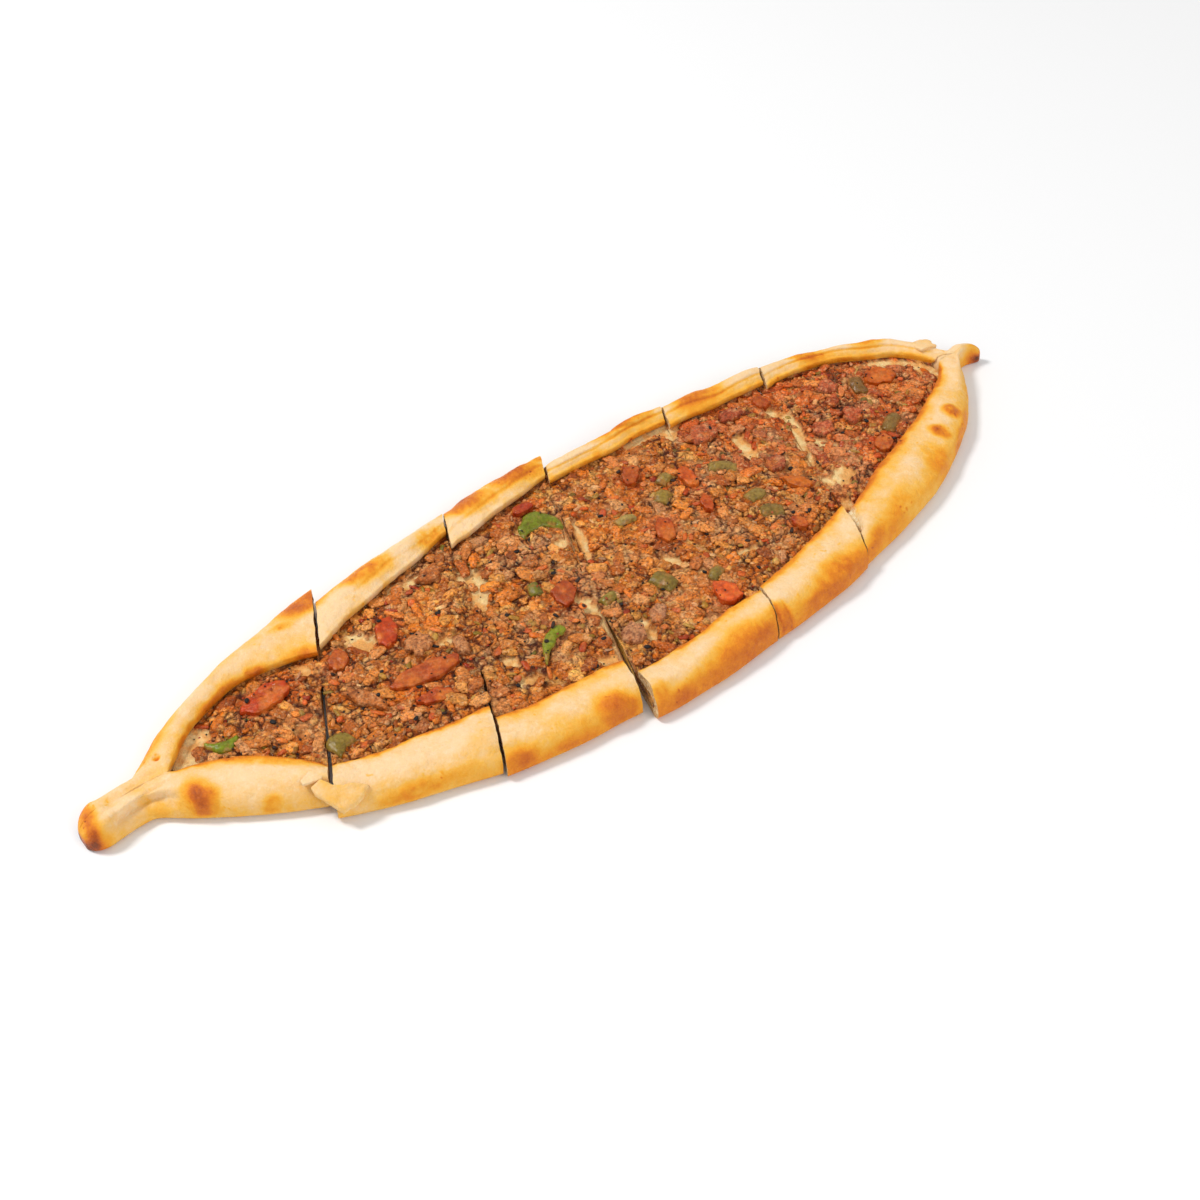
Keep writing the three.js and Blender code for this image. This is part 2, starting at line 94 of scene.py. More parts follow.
def mix(a: Array | float, b: Array | float, t: Array | float) -> Array:
    """Returns the value a share t of the way from a to b."""
    return a + (b - a) * t


def toward(base: Array, colour: Colour, share: Array | float) -> Array:
    """Returns colours that are moved a share of the way to one colour."""
    return mix(base, np.array(colour), share)


def smooth(low: float, high: float, value: Array) -> Array:
    """Returns 0 at low and 1 at high, with a soft start and end."""
    t = np.clip((value - low) / (high - low), 0.0, 1.0)
    return t * t * (3 - 2 * t)


def wave(x: Array, seed: float) -> Array:
    """Returns the slow unevenness of hand-shaped dough, between about -1 and 1."""
    return 0.6 * np.sin(x / 13 + seed * 1.7) + 0.4 * np.sin(x / 5.9 + seed * 3.1)


def on_plan(x: Array, y: Array) -> Array:
    """Returns the points of places in the plan, one row each, at height 0."""
    return np.stack([x, y, np.zeros_like(x)], axis=-1)


def turned(x: Array, y: Array, turn: float) -> tuple[Array, Array]:
    """Returns places as seen along and across an axis that is turned by some degrees."""
    angle = math.radians(turn)
    return x * math.cos(angle) + y * math.sin(angle), y * math.cos(angle) - x * math.sin(angle)


class Grain:
    """Repeatable smooth noise for points in millimetres."""

    def __init__(self, seed: int) -> None:
        """Fills the table of random values.

        Args:
            seed: Which pattern to make.
        """
        random = np.random.default_rng(seed)
        self.order = random.permutation(512)
        self.values = random.random(512) * 2 - 1

    def _corner(self, i: Array, j: Array, k: Array) -> Array:
        """Returns the random value of a lattice corner."""
        a = self.order[(i + 7) % 512]
        b = self.order[(a + j) % 512]
        return self.values[self.order[(b + k) % 512]]

    def plain(self, points: Array, size: float) -> Array:
        """Gives one layer of noise.

        Args:
            points: Places, one row each, in millimetres.
            size: Width of one blob of the noise, in millimetres.

        Returns:
            One value for each point, between -1 and 1.
        """
        p = points / size
        base = np.floor(p).astype(np.int64)
        f = p - base
        f = f * f * (3 - 2 * f)
        i, j, k = base[:, 0], base[:, 1], base[:, 2]
        total = np.zeros(len(points))
        for di in (0, 1):
            for dj in (0, 1):
                for dk in (0, 1):
                    weight = (f[:, 0] if di else 1 - f[:, 0]) * (f[:, 1] if dj else 1 - f[:, 1])
                    weight = weight * (f[:, 2] if dk else 1 - f[:, 2])
                    total += weight * self._corner(i + di, j + dj, k + dk)
        return total

    def layered(self, points: Array, size: float, layers: int) -> Array:
        """Adds finer layers of noise to a coarse one.

        Args:
            points: Places, one row each, in millimetres.
            size: Width of the coarsest blobs, in millimetres.
            layers: How many layers to add, each half as wide as the last.

        Returns:
            One value for each point, mostly between -1 and 1.
        """
        total = np.zeros(len(points))
        weight, whole = 1.0, 0.0
        for layer in range(layers):
            total += weight * self.plain(points + 31.7 * layer, size / 2 ** layer)
            whole += weight
            weight *= 0.55
        return total / whole * 1.3

    def blots(self, points: Array, size: float, layers: int, low: float, high: float) -> Array:
        """Returns soft blots in a column: 0 where the layered noise is low, 1 where it is high."""
        return smooth(low, high, self.layered(points, size, layers))[:, None]


class Clumps:
    """Irregular touching clumps in the plane, like chopped meat pressed together."""

    def __init__(self, seed: int, size: float) -> None:
        """Keeps the size of a clump.

        Args:
            seed: Which pattern to make.
            size: Width of one clump in millimetres.
        """
        self.size = size
        self.random = np.random.default_rng(seed).random((256, 256, 4))

    def read(self, x: Array, y: Array) -> tuple[Array, Array, Array, Array]:
        """Finds the clump that each place lies in.

        Args:
            x: Places along X, in millimetres.
            y: Places along Y.

        Returns:
            How far each place is from its clump's middle and from the nearest edge, in clump
            widths, and two random numbers of the clump.
        """
        px, py = x / self.size, y / self.size
        ix, iy = np.floor(px).astype(int), np.floor(py).astype(int)
        first = np.full(len(x), 9.0)
        second = np.full(len(x), 9.0)
        one, two = np.zeros(len(x)), np.zeros(len(x))
        for dx in (-1, 0, 1):
            for dy in (-1, 0, 1):
                own = self.random[(ix + dx) % 256, (iy + dy) % 256]
                distance = np.hypot(ix + dx + own[:, 0] - px, iy + dy + own[:, 1] - py)
                nearer = distance < first
                second = np.where(nearer, first, np.minimum(second, distance))
                one, two = np.where(nearer, own[:, 2], one), np.where(nearer, own[:, 3], two)
                first = np.where(nearer, distance, first)
        return first, second - first, one, two


# ---- plan of the boat


@dataclass(frozen=True)
class EndShape:
    """How one end of the boat narrows."""

    reach: float
    power: float
    fullness: float


@dataclass(frozen=True)
class Tip:
    """A pinched tip of dough."""

    end: float
    start: float
    neck_half: float
    end_half: float
    roundness: float
    droop: float


@dataclass(frozen=True)
class Cut:
    """A knife cut: where it crosses the X axis, its slant, its bow and its gap."""

    at: float
    slant: float
    bow: float
    gap_front: float
    gap_back: float


@dataclass(frozen=True)
class SliceLay:
    """How one slice lies, and the widths of its rims."""

    middle: float
    shift: float
    turn: float
    front: tuple[float, float, float]
    back: tuple[float, float, float]


@dataclass(frozen=True)
class Stations:
    """Lines across a slice, and where they meet its edges and lips."""

    s: Array
    front: Array
    back: Array
    lip_front: Array
    lip_back: Array

    def rim(self, side: int) -> tuple[Array, Array]:
        """Returns the y of an edge and its lip; side is -1 for the front and 1 for the back."""
        return (self.front, self.lip_front) if side < 0 else (self.back, self.lip_back)

    def between_lips(self, level: Array, count: int) -> Array:
        """Returns a count of points (y, z) at a level, from the back lip to the front lip."""
        back, front = (np.stack([y, level], axis=-1)[:, None] for y in (self.lip_back, self.lip_front))
        return back + (front - back) * np.linspace(0, 1, count)[None, :, None]


@dataclass(frozen=True)
class BoatPlan:
    """The plan of the whole pide, as the solids have it."""

    half_width: float = 75.3
    left: EndShape = EndShape(224.5, 1.83, 0.66)
    right: EndShape = EndShape(233.5, 2.48, 0.571)
    middle_at_origin: float = -0.5
    bow: float = 7.6
    bow_span: float = 200
    left_tip: Tip = Tip(-247.6, -212, 10.6, 10, 10, -6)
    right_tip: Tip = Tip(248, 222, 5.8, 7.5, 8, -1.4)
    blend_power: float = 6
    edge_unevenness: float = 0.42
    lip_unevenness: float = 0.8
    left_corner: float = -209.5
    right_corner: float = 221.5
    corner_roundness: float = 9
    cut_half_span: float = 75
    wall: float = 4.3
    flap_taper: float = 24
    settling_rounds: int = 12
    slices: tuple[SliceLay, ...] = (
        SliceLay(-175, 3.0, 0.017, (26.8, -0.275, -0.0143), (14.6, 0.074, 0.0059)),
        SliceLay(-105, -2.5, 0.045, (27.3, 0.103, 0), (20.9, -0.101, 0)),
        SliceLay(-40, -0.3, 0.076, (23.3, -0.02, 0), (21.3, -0.093, 0)),
        SliceLay(28, -3.0, 0.054, (22.0, 0.02, 0), (12.7, 0.013, 0)),
        SliceLay(94, 0.2, 0.042, (27.4, 0.077, 0), (16.6, -0.046, 0)),
        SliceLay(175, 2.7, 0.013, (28.4, -0.079, -0.0023), (11.3, -0.034, 0.0052)),
    )
    cuts: tuple[Cut, ...] = (
        Cut(-142.5, 0.515, 0, 2.4, 1.4),
        Cut(-69.8, 0.457, 0, 1.6, 0.9),
        Cut(-6.5, 0.372, -4, 4.6, 1.1),
        Cut(63.3, 0.36, 1, 0.9, 1.0),
        Cut(121.9, 0.37, 1.5, 0.8, 1.2),
    )

    def boat_half(self, x: Array) -> Array:
        """Returns the half width of the boat without its tips."""
        def one(end: EndShape) -> Array:
            part = np.clip(np.abs(x) / end.reach, 0, 1)
            return self.half_width * (1 - part ** end.power) ** end.fullness
        return np.where(x < 0, one(self.left), one(self.right))

    def tip_half(self, x: Array, tip: Tip) -> Array:
        """Returns the half width of a tip."""
        side = math.copysign(1, tip.end)
        from_end = np.clip((tip.end - x) * side, 0, tip.roundness) / tip.roundness
        along = smooth(tip.start * side, (tip.end + tip.start) * side / 2, x * side)
        return mix(tip.neck_half, tip.end_half, along) * np.sqrt(1 - (1 - from_end) ** 2)

    def outline_half(self, x: Array) -> Array:
        """Returns the half width of the whole outline."""
        tips = np.where(x < 0, self.tip_half(x, self.left_tip), self.tip_half(x, self.right_tip))
        power = self.blend_power
        return (self.boat_half(x) ** power + tips ** power) ** (1 / power)

    def middle_line(self, x: Array) -> Array:
        """Returns the y of the boat's bent middle line."""
        def droop(tip: Tip) -> Array:
            along = np.clip((x - tip.start) / (tip.end - tip.start), 0, 1)
            return tip.droop * along ** 1.5
        bent = self.middle_at_origin + self.bow * (x / self.bow_span) ** 2
        return bent + np.where(x < 0, droop(self.left_tip), droop(self.right_tip))

    def outer_edge(self, lay: SliceLay, x: Array, side: int) -> Array:
        """Returns the y of the outer edge; side is -1 for the front and 1 for the back."""
        lying = lay.shift + lay.turn * (x - lay.middle)
        uneven = self.edge_unevenness * wave(x, side + 4)
        return self.middle_line(x) + side * self.outline_half(x) + lying + uneven

    def rim_width(self, lay: SliceLay, x: Array, side: int) -> Array:
        """Returns the width of the folded rim."""
        width, change, curve = lay.front if side < 0 else lay.back
        u = x - lay.middle
        return width + change * u + curve * u * u + self.lip_unevenness * wave(x * 1.3, side + 8)

    def from_corner(self, x: Array) -> Array:
        """Returns how far a place is inside the nearer inner corner; negative is beyond it."""
        return np.minimum(x - self.left_corner, self.right_corner - x)

    def opened(self, x: Array) -> Array:
        """Returns how far the lips stand apart: 0 beyond the inner corners, 1 away from them."""
        part = np.clip(self.from_corner(x) / self.corner_roundness, 0, 1)
        return np.sqrt(1 - (1 - part) ** 2)

    def lip(self, lay: SliceLay, x: Array, side: int) -> Array:
        """Returns the y of the front or back lip."""
        front = self.outer_edge(lay, x, -1) + self.rim_width(lay, x, -1)
        back = self.outer_edge(lay, x, 1) - self.rim_width(lay, x, 1)
        opened = self.opened(x)
        centre = mix(self.middle_line(x) + lay.shift, (front + back) / 2, smooth(0, 1, opened))
        return centre + side * np.maximum((back - front) / 2, 0) * opened

    def station_x(self, s: Array, y: Array) -> Array:
        """Returns the x of the points at y on the slanted lines that cross the X axis at s."""
        at = [self.left_tip.end, *(cut.at for cut in self.cuts), self.right_tip.end]
        slant = np.interp(s, at, [0, *(cut.slant for cut in self.cuts), 0])
        bow = np.interp(s, at, [0, *(cut.bow for cut in self.cuts), 0])
        return s + slant * y + bow * (1 - (y / self.cut_half_span) ** 2)

    def stations(self, index: int, s: Array) -> Stations:
        """Finds where station lines meet the edges and lips of a slice.

        Args:
            index: The slice, counted from 0.
            s: Where the lines cross the X axis.

        Returns:
            The stations with the y of both edges and both lips.
        """
        lay = self.slices[index]
        found = []
        for line in (self.outer_edge, self.lip):
            for side in (-1, 1):
                y = line(lay, s, side)
                for _ in range(self.settling_rounds):
                    y = mix(y, line(lay, self.station_x(s, y), side), 0.7)
                found.append(y)
        front, back, lip_front, lip_back = found
        half, middle = (back - front) / 2, (back + front) / 2
        lip_front = np.clip(lip_front, front + half * 0.12, middle + half * 0.6)
        lip_back = np.clip(lip_back, middle - half * 0.6, back - half * 0.12)
        return Stations(s, front, back, lip_front, lip_back)

    def span(self, index: int) -> Pair:
        """Returns where a slice starts and ends on the X axis."""
        start = self.left_tip.end + 0.5 if index == 0 else self.cuts[index - 1].at
        end = self.right_tip.end - 0.5 if index == len(self.cuts) else self.cuts[index].at
        return start, end

    def spaced(self, index: int, ends: Pair, spacing: float, closer: float) -> Stations:
        """Lays stations along a slice, closer together toward a tip of the boat.

        Args:
            index: The slice, counted from 0.
            ends: Where the first and the last line cross the X axis.
            spacing: How far apart the lines are, in millimetres.
            closer: The power that draws them together at a tip.

        Returns:
            The stations with the y of both edges and both lips.
        """
        start, end = ends
        t = np.linspace(0, 1, int((end - start) / spacing) + 1)
        if index == 0:
            t = t ** closer
        if index == len(self.cuts):
            t = 1 - (1 - t) ** closer
        return self.stations(index, start + (end - start) * t)

    def under_flap(self, at: Stations, side: int) -> tuple[Array, Array]:
        """Returns the y of a lip, and how far behind it the wall under its flap stands."""
        edge, lip = at.rim(side)
        taper = np.clip(self.from_corner(at.s) / self.flap_taper, 0.02, 1)
        return lip, np.maximum((lip - edge) * -side - self.wall, 1) * np.sqrt(taper)

    def half_gap(self, cut: Cut, y: Array) -> Array:
        """Returns half the width of a cut's gap at each y."""
        share = np.clip((y + self.cut_half_span) / (2 * self.cut_half_span), 0, 1)
        return mix(cut.gap_front, cut.gap_back, share) / 2

    def cuts_of(self, index: int) -> list[tuple[int, Cut, int]]:
        """Returns the cuts of a slice, each with its number and the way from it into the slice."""
        beside = ((index - 1, 1), (index, -1))
        return [(number, self.cuts[number], way) for number, way in beside if 0 <= number < len(self.cuts)]

    def gap_shift(self, index: int, s: Array, y: Array) -> Array:
        """Returns how far a point moves along X to leave the gaps of its slice's cuts."""
        total = np.zeros(np.broadcast(s, y).shape)
        for _, cut, way in self.cuts_of(index):
            near = 1 - smooth(0, 14, np.abs(s - cut.at))
            total = total + way * near * self.half_gap(cut, y)
        return total


# ---- meshes


def curve_through(control: Array, per_segment: list[int]) -> Array:
    """Draws a smooth line through control points, for many stations at once.

    Args:
        control: Points, with shape (stations, points, 2).
        per_segment: How many points to make on each segment.

    Returns:
        The dense points, with shape (stations, dense, 2); the last control point is left out.
    """
    before = np.concatenate([control[:, :1], control[:, :-2]], axis=1)
    after = np.concatenate([control[:, 2:], control[:, -1:]], axis=1)
    pieces = []
    for i, count in enumerate(per_segment):
        p0, p1, p2, p3 = before[:, i], control[:, i], control[:, i + 1], after[:, i]
        for t in np.arange(count) / count:
            a = 2 * p1 + (p2 - p0) * t + (2 * p0 - 5 * p1 + 4 * p2 - p3) * t * t
            pieces.append((a + (3 * p1 - p0 - 3 * p2 + p3) * t ** 3) / 2)
    return np.stack(pieces, axis=1)


def profile(rows: tuple[tuple[Array, Array | float], ...], per_segment: list[int], low: Array) -> Array:
    """Draws a smooth line across every station.

    Args:
        rows: The y and the z of each control point at every station.
        per_segment: How many points to make on each segment.
        low: What the heights of each station are multiplied by.

    Returns:
        The dense points, with shape (stations, dense, 2); the last control point is left out.
    """
    control = np.stack([np.stack([y, z * low], axis=-1) for y, z in rows], axis=1)
    return curve_through(control, per_segment)


def ring_faces(rows: int, columns: int) -> Array:
    """Returns the quads between rows of points, each of which is a closed ring."""
    i, j = np.meshgrid(np.arange(rows - 1), np.arange(columns), indexing="ij")
    a, b = i * columns + j, i * columns + (j + 1) % columns
    return np.stack([a, b, b + columns, a + columns], axis=-1).reshape(-1, 4)


def grid_normals(points: Array) -> Array:
    """Returns the unit normals of a grid of points that is closed along its second axis."""
    along = np.gradient(points, axis=0)
    around = (np.roll(points, -1, axis=1) - np.roll(points, 1, axis=1)) / 2
    normal = np.cross(around, along)
    length = np.linalg.norm(normal, axis=-1, keepdims=True)
    return normal / np.maximum(length, 1e-9)


def dressed(name: str, points: Array, faces: Array, stored: dict[str, Array], *finishes: Material) -> Piece:
    """Makes a smooth mesh with its finishes, and with what they read stored on it.

    Args:
        name: The object's name.
        points: The points in millimetres, one row each.
        faces: The faces, as rows of point numbers.
        stored: Under each attribute's name, a number or a row of linear red, green and blue for
            each point.
        *finishes: The materials of the mesh, in order.

    Returns:
        The new object, in the scene's collection.
    """
    mesh = bpy.data.meshes.new(name)
    mesh.from_pydata((points * MM).tolist(), [], faces.tolist())
    mesh.update()
    piece = bpy.data.objects.new(name, mesh)
    bpy.context.scene.collection.objects.link(piece)
    for key, values in stored.items():
        if values.ndim == 1:
            layer = piece.data.attributes.new(key, "FLOAT", "POINT")
            layer.data.foreach_set("value", values.astype(np.float32))
        else:
            layer = piece.data.color_attributes.new(key, "FLOAT_COLOR", "POINT")
            whole = np.ones((len(values), 4), dtype=np.float32)
            whole[:, :3] = values
            layer.data.foreach_set("color", whole.ravel())
    for finish in finishes:
        piece.data.materials.append(finish)
    piece.data.polygons.foreach_set("use_smooth", [True] * len(piece.data.polygons))
    return piece


@contextmanager
def in_work(piece: Piece) -> Iterator[bmesh.types.BMesh]:
    """Opens a mesh so that its points and faces can be changed, and keeps the changes."""
    shape = bmesh.new()
    shape.from_mesh(piece.data)
    yield shape
    shape.to_mesh(piece.data)
    shape.free()


def tidy_mesh(piece: Piece, fill: bool = False) -> None:
    """Joins points that coincide, drops faces without area, and turns the faces out.

    Args:
        piece: The mesh object.
        fill: Whether to close the open rings that are left.
    """
    with in_work(piece) as shape:
        bmesh.ops.remove_doubles(shape, verts=shape.verts, dist=MERGE)
        bmesh.ops.dissolve_degenerate(shape, dist=MERGE / 2, edges=shape.edges)
        bmesh.ops.recalc_face_normals(shape, faces=shape.faces)
    if fill:
        with in_work(piece) as shape:
            rim = [edge for edge in shape.edges if edge.is_boundary]
            bmesh.ops.holes_fill(shape, edges=rim, sides=0)
            bmesh.ops.recalc_face_normals(shape, faces=shape.faces)


def close_ring(piece: Piece, ring: list[int], material: int) -> None:
    """Closes an open ring of points with flat faces and keeps its edge crisp.

    Args:
        piece: The mesh object.
        ring: The numbers of the ring's points, in order.
        material: The material slot of the new faces.
    """
    with in_work(piece) as shape:
        shape.verts.ensure_lookup_table()
        found = [shape.edges.get((shape.verts[a], shape.verts[b])) for a, b in zip(ring, ring[1:] + ring[:1])]
        edges = [edge for edge in found if edge is not None]
        for edge in edges:
            edge.smooth = False
        made = bmesh.ops.triangle_fill(shape, use_beauty=True, edges=edges)
        for item in made["geom"]:
            if isinstance(item, bmesh.types.BMFace):
                item.material_index = material
                item.smooth = False


def finish_mesh(piece: Piece, nodes: list[str]) -> None:
    """Makes a mesh ride on the food's body in the place of its solids.

    Args:
        piece: The mesh object.
        nodes: The solids that it stands for.
    """
    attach(piece, "root")
    if nodes:
        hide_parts(*nodes)
    faces = len(piece.data.polygons)
    LOG.info("%s: %d faces, stands for %s", piece.name, faces, ", ".join(nodes) or "nothing")


# ---- finishes


class Slot(Enum):
    """The record's material slots."""

    CRUST = "crust"
    FILLING = "filling"
    PEPPER = "pepper"
    TOMATO = "tomato"
    MEAT = "meat"


class Paper:
    """A material under construction, with short ways to add and join nodes."""

    def __init__(self, name: str) -> None:
        """Starts a material.

        Args:
            name: The material's name.
        """
        self.material = bpy.data.materials.new(name)
        self.material.use_nodes = True
        self.tree = self.material.node_tree
        self.shader = self.tree.nodes["Principled BSDF"]

    def node(self, kind: str, **inputs: object) -> bpy.types.Node:
        """Adds a node and sets its inputs, by name with _ for a space.

        Args:
            kind: The node's type name.
            **inputs: A value to set, or a socket to join.

        Returns:
            The new node.
        """
        made = self.tree.nodes.new(kind)
        for key, value in inputs.items():
            self.feed(made.inputs[key.replace("_", " ")], value)
        return made

    def feed(self, socket: Socket, value: object) -> None:
        """Joins a socket to another socket, or gives it a value or an opaque colour."""
        if isinstance(value, Socket):
            self.tree.links.new(value, socket)
        else:
            socket.default_value = (*value, 1) if socket.type == "RGBA" else value

    def stored(self, name: str, output: str = "Fac") -> Socket:
        """Returns the numbers stored on the mesh under a name, or its colours with "Color"."""
        made = self.node("ShaderNodeAttribute")
        made.attribute_name = name
        return made.outputs[output]

    def noise(self, scale: float, detail: float, roughness: float = 0.55) -> Socket:
        """Returns a noise pattern of a scale in blobs to the metre."""
        where = self.node("ShaderNodeTexCoord").outputs["Object"]
        made = self.node("ShaderNodeTexNoise", Vector=where, Scale=scale, Detail=detail, Roughness=roughness)
        return made.outputs["Fac"]

    def maths(self, kind: str, a: object, b: object) -> Socket:
        """Returns the result of a sum on two values."""
        made = self.tree.nodes.new("ShaderNodeMath")
        made.operation = kind
        self.feed(made.inputs[0], a)
        self.feed(made.inputs[1], b)
        return made.outputs[0]

    def spread(self, value: object, low: float, high: float, to: Pair) -> Socket:
        """Returns a value stretched from one range to another, and kept inside it."""
        made = self.node("ShaderNodeMapRange", Value=value, From_Min=low, From_Max=high, To_Min=to[0],
                         To_Max=to[1])
        return made.outputs[0]

    def ramp(self, value: object, stops: tuple[tuple[float, Colour], ...]) -> Socket:
        """Returns the colour of a value on a row of coloured stops."""
        made = self.node("ShaderNodeValToRGB", Fac=value)
        elements = made.color_ramp.elements
        while len(elements) < len(stops):
            elements.new(0.5)
        for element, (place, colour) in zip(elements, stops):
            element.position = place
            element.color = (*colour, 1)
        return made.outputs["Color"]

    def grey(self, value: object) -> Socket:
        """Returns a value as a grey colour."""
        made = self.node("ShaderNodeCombineColor", Red=value, Green=value, Blue=value)
        return made.outputs["Color"]

    def blend(self, share: object, a: object, b: object, kind: str = "MIX") -> Socket:
        """Returns a mix of two colours."""
        made = self.tree.nodes.new("ShaderNodeMix")
        made.data_type = "RGBA"
        made.blend_type = kind
        for number, value in ((0, share), (6, a), (7, b)):
            self.feed(made.inputs[number], value)
        return made.outputs[2]

    def speckled(self, colour: object, scale: float, dark: Colour, light: Colour, shares: Pair) -> Socket:
        """Lays dark and light specks over a colour.

        Args:
            colour: The colour below.
            scale: Specks to the metre.
            dark: The colour of the dark specks.
            light: The colour of the light specks.
            shares: How strong the dark and the light specks are.

        Returns:
            The speckled colour.
        """
        low = self.spread(self.noise(scale, 3, 0.62), 0.52, 0.62, (0.0, shares[0]))
        high = self.spread(self.noise(scale * 0.63, 4, 0.66), 0.54, 0.68, (0.0, shares[1]))
        return self.blend(low, self.blend(high, colour, light), dark)

    def bump(self, height: object, distance: float, strength: float) -> None:
        """Gives the shader a fine relief."""
        made = self.node("ShaderNodeBump", Height=height, Strength=strength, Distance=distance)
        self.set(Normal=made.outputs["Normal"])

    def set(self, **inputs: object) -> None:
        """Sets or joins the shader's own inputs, by name with _ for a space."""
        for key, value in inputs.items():
            self.feed(self.shader.inputs[key.replace("_", " ")], value)


@dataclass(frozen=True)
class CrustFinish:
    """Baked dough: pale cream to golden, brown and burnt, by a value on the mesh."""

    stops: tuple[tuple[float, Colour], ...] = tuple(zip(
        (0, 0.14, 0.28, 0.42, 0.56, 0.7, 0.82, 0.92, 1),
        colours((241, 204, 154), (240, 193, 125), (241, 182, 76), (238, 162, 38), (228, 136, 22),
                (204, 104, 18), (164, 74, 16), (108, 50, 18), (54, 28, 16))))

    def material(self) -> Material:
        """Makes the material of the baked skin."""
        paper = Paper("baked dough")
        brown = paper.stored("brown")
        mottle = paper.spread(paper.noise(130, 7, 0.64), 0.3, 0.7, (-0.09, 0.08))
        fine = paper.spread(paper.noise(1100, 4, 0.65), 0.3, 0.7, (-0.035, 0.035))
        level = paper.maths("ADD", paper.maths("ADD", brown, mottle), fine)
        colour = paper.ramp(level, self.stops)
        flour = paper.spread(paper.noise(330, 6, 0.7), 0.5, 0.7, (0.0, 0.4))
        pale = paper.maths("MULTIPLY", flour, paper.spread(brown, 0.12, 0.34, (1.0, 0.0)))
        colour = paper.blend(pale, colour, srgb(244, 222, 188))
        colour = paper.blend(paper.maths("MULTIPLY", paper.stored("oil"), 0.7), colour, srgb(206, 112, 34))
        torn = paper.stored("torn")
        crumb = paper.blend(paper.spread(paper.noise(900, 4, 0.6), 0.4, 0.6, (0.0, 1.0)),
                            srgb(226, 184, 122), srgb(250, 234, 196))
        colour = paper.blend(torn, colour, crumb)
        swells = paper.maths("MULTIPLY", paper.noise(260, 4), 1.8)
        paper.bump(paper.maths("ADD", paper.noise(800, 6, 0.7), swells), 0.0007, 0.75)
        gloss = paper.spread(level, 0.3, 0.75, (0.62, 0.4))
        paper.set(Base_Color=colour, Roughness=gloss, Subsurface_Weight=0.1, Subsurface_Scale=0.003,
                  Subsurface_Radius=(1.0, 0.5, 0.25), Specular_IOR_Level=0.26)
        return paper.material


@dataclass(frozen=True)
class CrumbFinish:
    """The pale open inside of the dough, as cuts and tears show it."""

    pale: Colour = srgb(240, 214, 166)
    pore_shade: Colour = srgb(200, 150, 92)

    def material(self) -> Material:
        """Makes the material of the cut dough."""
        paper = Paper("cut dough")
        holes = paper.spread(paper.noise(800, 3, 0.6), 0.38, 0.56, (0.0, 1.0))
        layers = paper.spread(paper.noise(260, 5, 0.6), 0.35, 0.65, (0.0, 1.0))
        # Painted shade: the cut dough is darker where its bump relief is low, in its pores.
        colour = paper.blend(paper.maths("MULTIPLY", holes, 0.8), self.pore_shade, self.pale)
        colour = paper.blend(paper.maths("MULTIPLY", layers, 0.25), colour, srgb(222, 164, 92))
        paper.bump(paper.maths("ADD", holes, layers), 0.0009, 0.7)
        paper.set(Base_Color=colour, Roughness=0.8, Subsurface_Weight=0.15, Subsurface_Scale=0.003,
                  Subsurface_Radius=(1.0, 0.6, 0.35), Specular_IOR_Level=0.25)
        return paper.material


# ---- crust


@dataclass(frozen=True)
class Oval:
    """An oval place: its middle, half length, half width and turn."""

    x: float
    y: float
    along: float
    across: float
    turn: float

    def distance(self, x: Array, y: Array) -> Array:
        """Returns how far out each place is: 0 in the middle and 1 on the edge."""
        u, v = turned(x - self.x, y - self.y, self.turn)
        u, v = u / self.along, v / self.across
        return np.sqrt(u * u + v * v)


@dataclass(frozen=True)
class Patch(Oval):
    """A browned oval on the dough, or a bare one in the filling, and how strong it is."""

    amount: float

    def strength(self, x: Array, y: Array, warp: Array) -> Array:
        """Returns how strong the patch is at each place, with an uneven edge."""
        return self.amount * (1 - smooth(0.25, 1.5, self.distance(x, y) + 0.35 * warp))


@dataclass(frozen=True)
class Blister:
    """A low dome that the oven blew up in the dough."""

    x: float
    y: float
    radius: float
    height: float

    def lift(self, x: Array, y: Array) -> Array:
        """Returns how far the skin is lifted, in millimetres."""
        distance = np.hypot(x - self.x, y - self.y) / self.radius
        return self.height * (1 - smooth(0.2, 1, distance))


@dataclass(frozen=True)
class Crease:
    """A fold or a crack in the dough, from one place to another."""

    ax: float
    ay: float
    bx: float
    by: float
    width: float
    depth: float
    # How much darker the crust is painted along the crease, as shade in its groove.
    brown: float = 0

    def share(self, x: Array, y: Array, warp: Array) -> Array:
        """Returns 1 in the middle of the crease, falling to 0 at its sides and ends."""
        length = math.hypot(self.bx - self.ax, self.by - self.ay)
        ux, uy = (self.bx - self.ax) / length, (self.by - self.ay) / length
        along = ((x - self.ax) * ux + (y - self.ay) * uy) / length
        aside = (y - self.ay) * ux - (x - self.ax) * uy + self.width * warp
        inside = np.clip(along, 0, 1)
        ends = np.sin(np.pi * inside) ** 0.8
        return np.exp(-(aside / (self.width * (0.5 + 0.5 * ends))) ** 2) * ends


@dataclass(frozen=True)
class Tear(Oval):
    """A place where the dough's skin is torn off and lower, pale crumb shows."""

    floor: float
    slice_number: int

    def share(self, x: Array, y: Array, warp: Array) -> Array:
        """Returns 1 inside the tear and 0 outside, with a ragged edge."""
        return 1 - smooth(0.82, 1, self.distance(x, y) + 0.38 * warp)


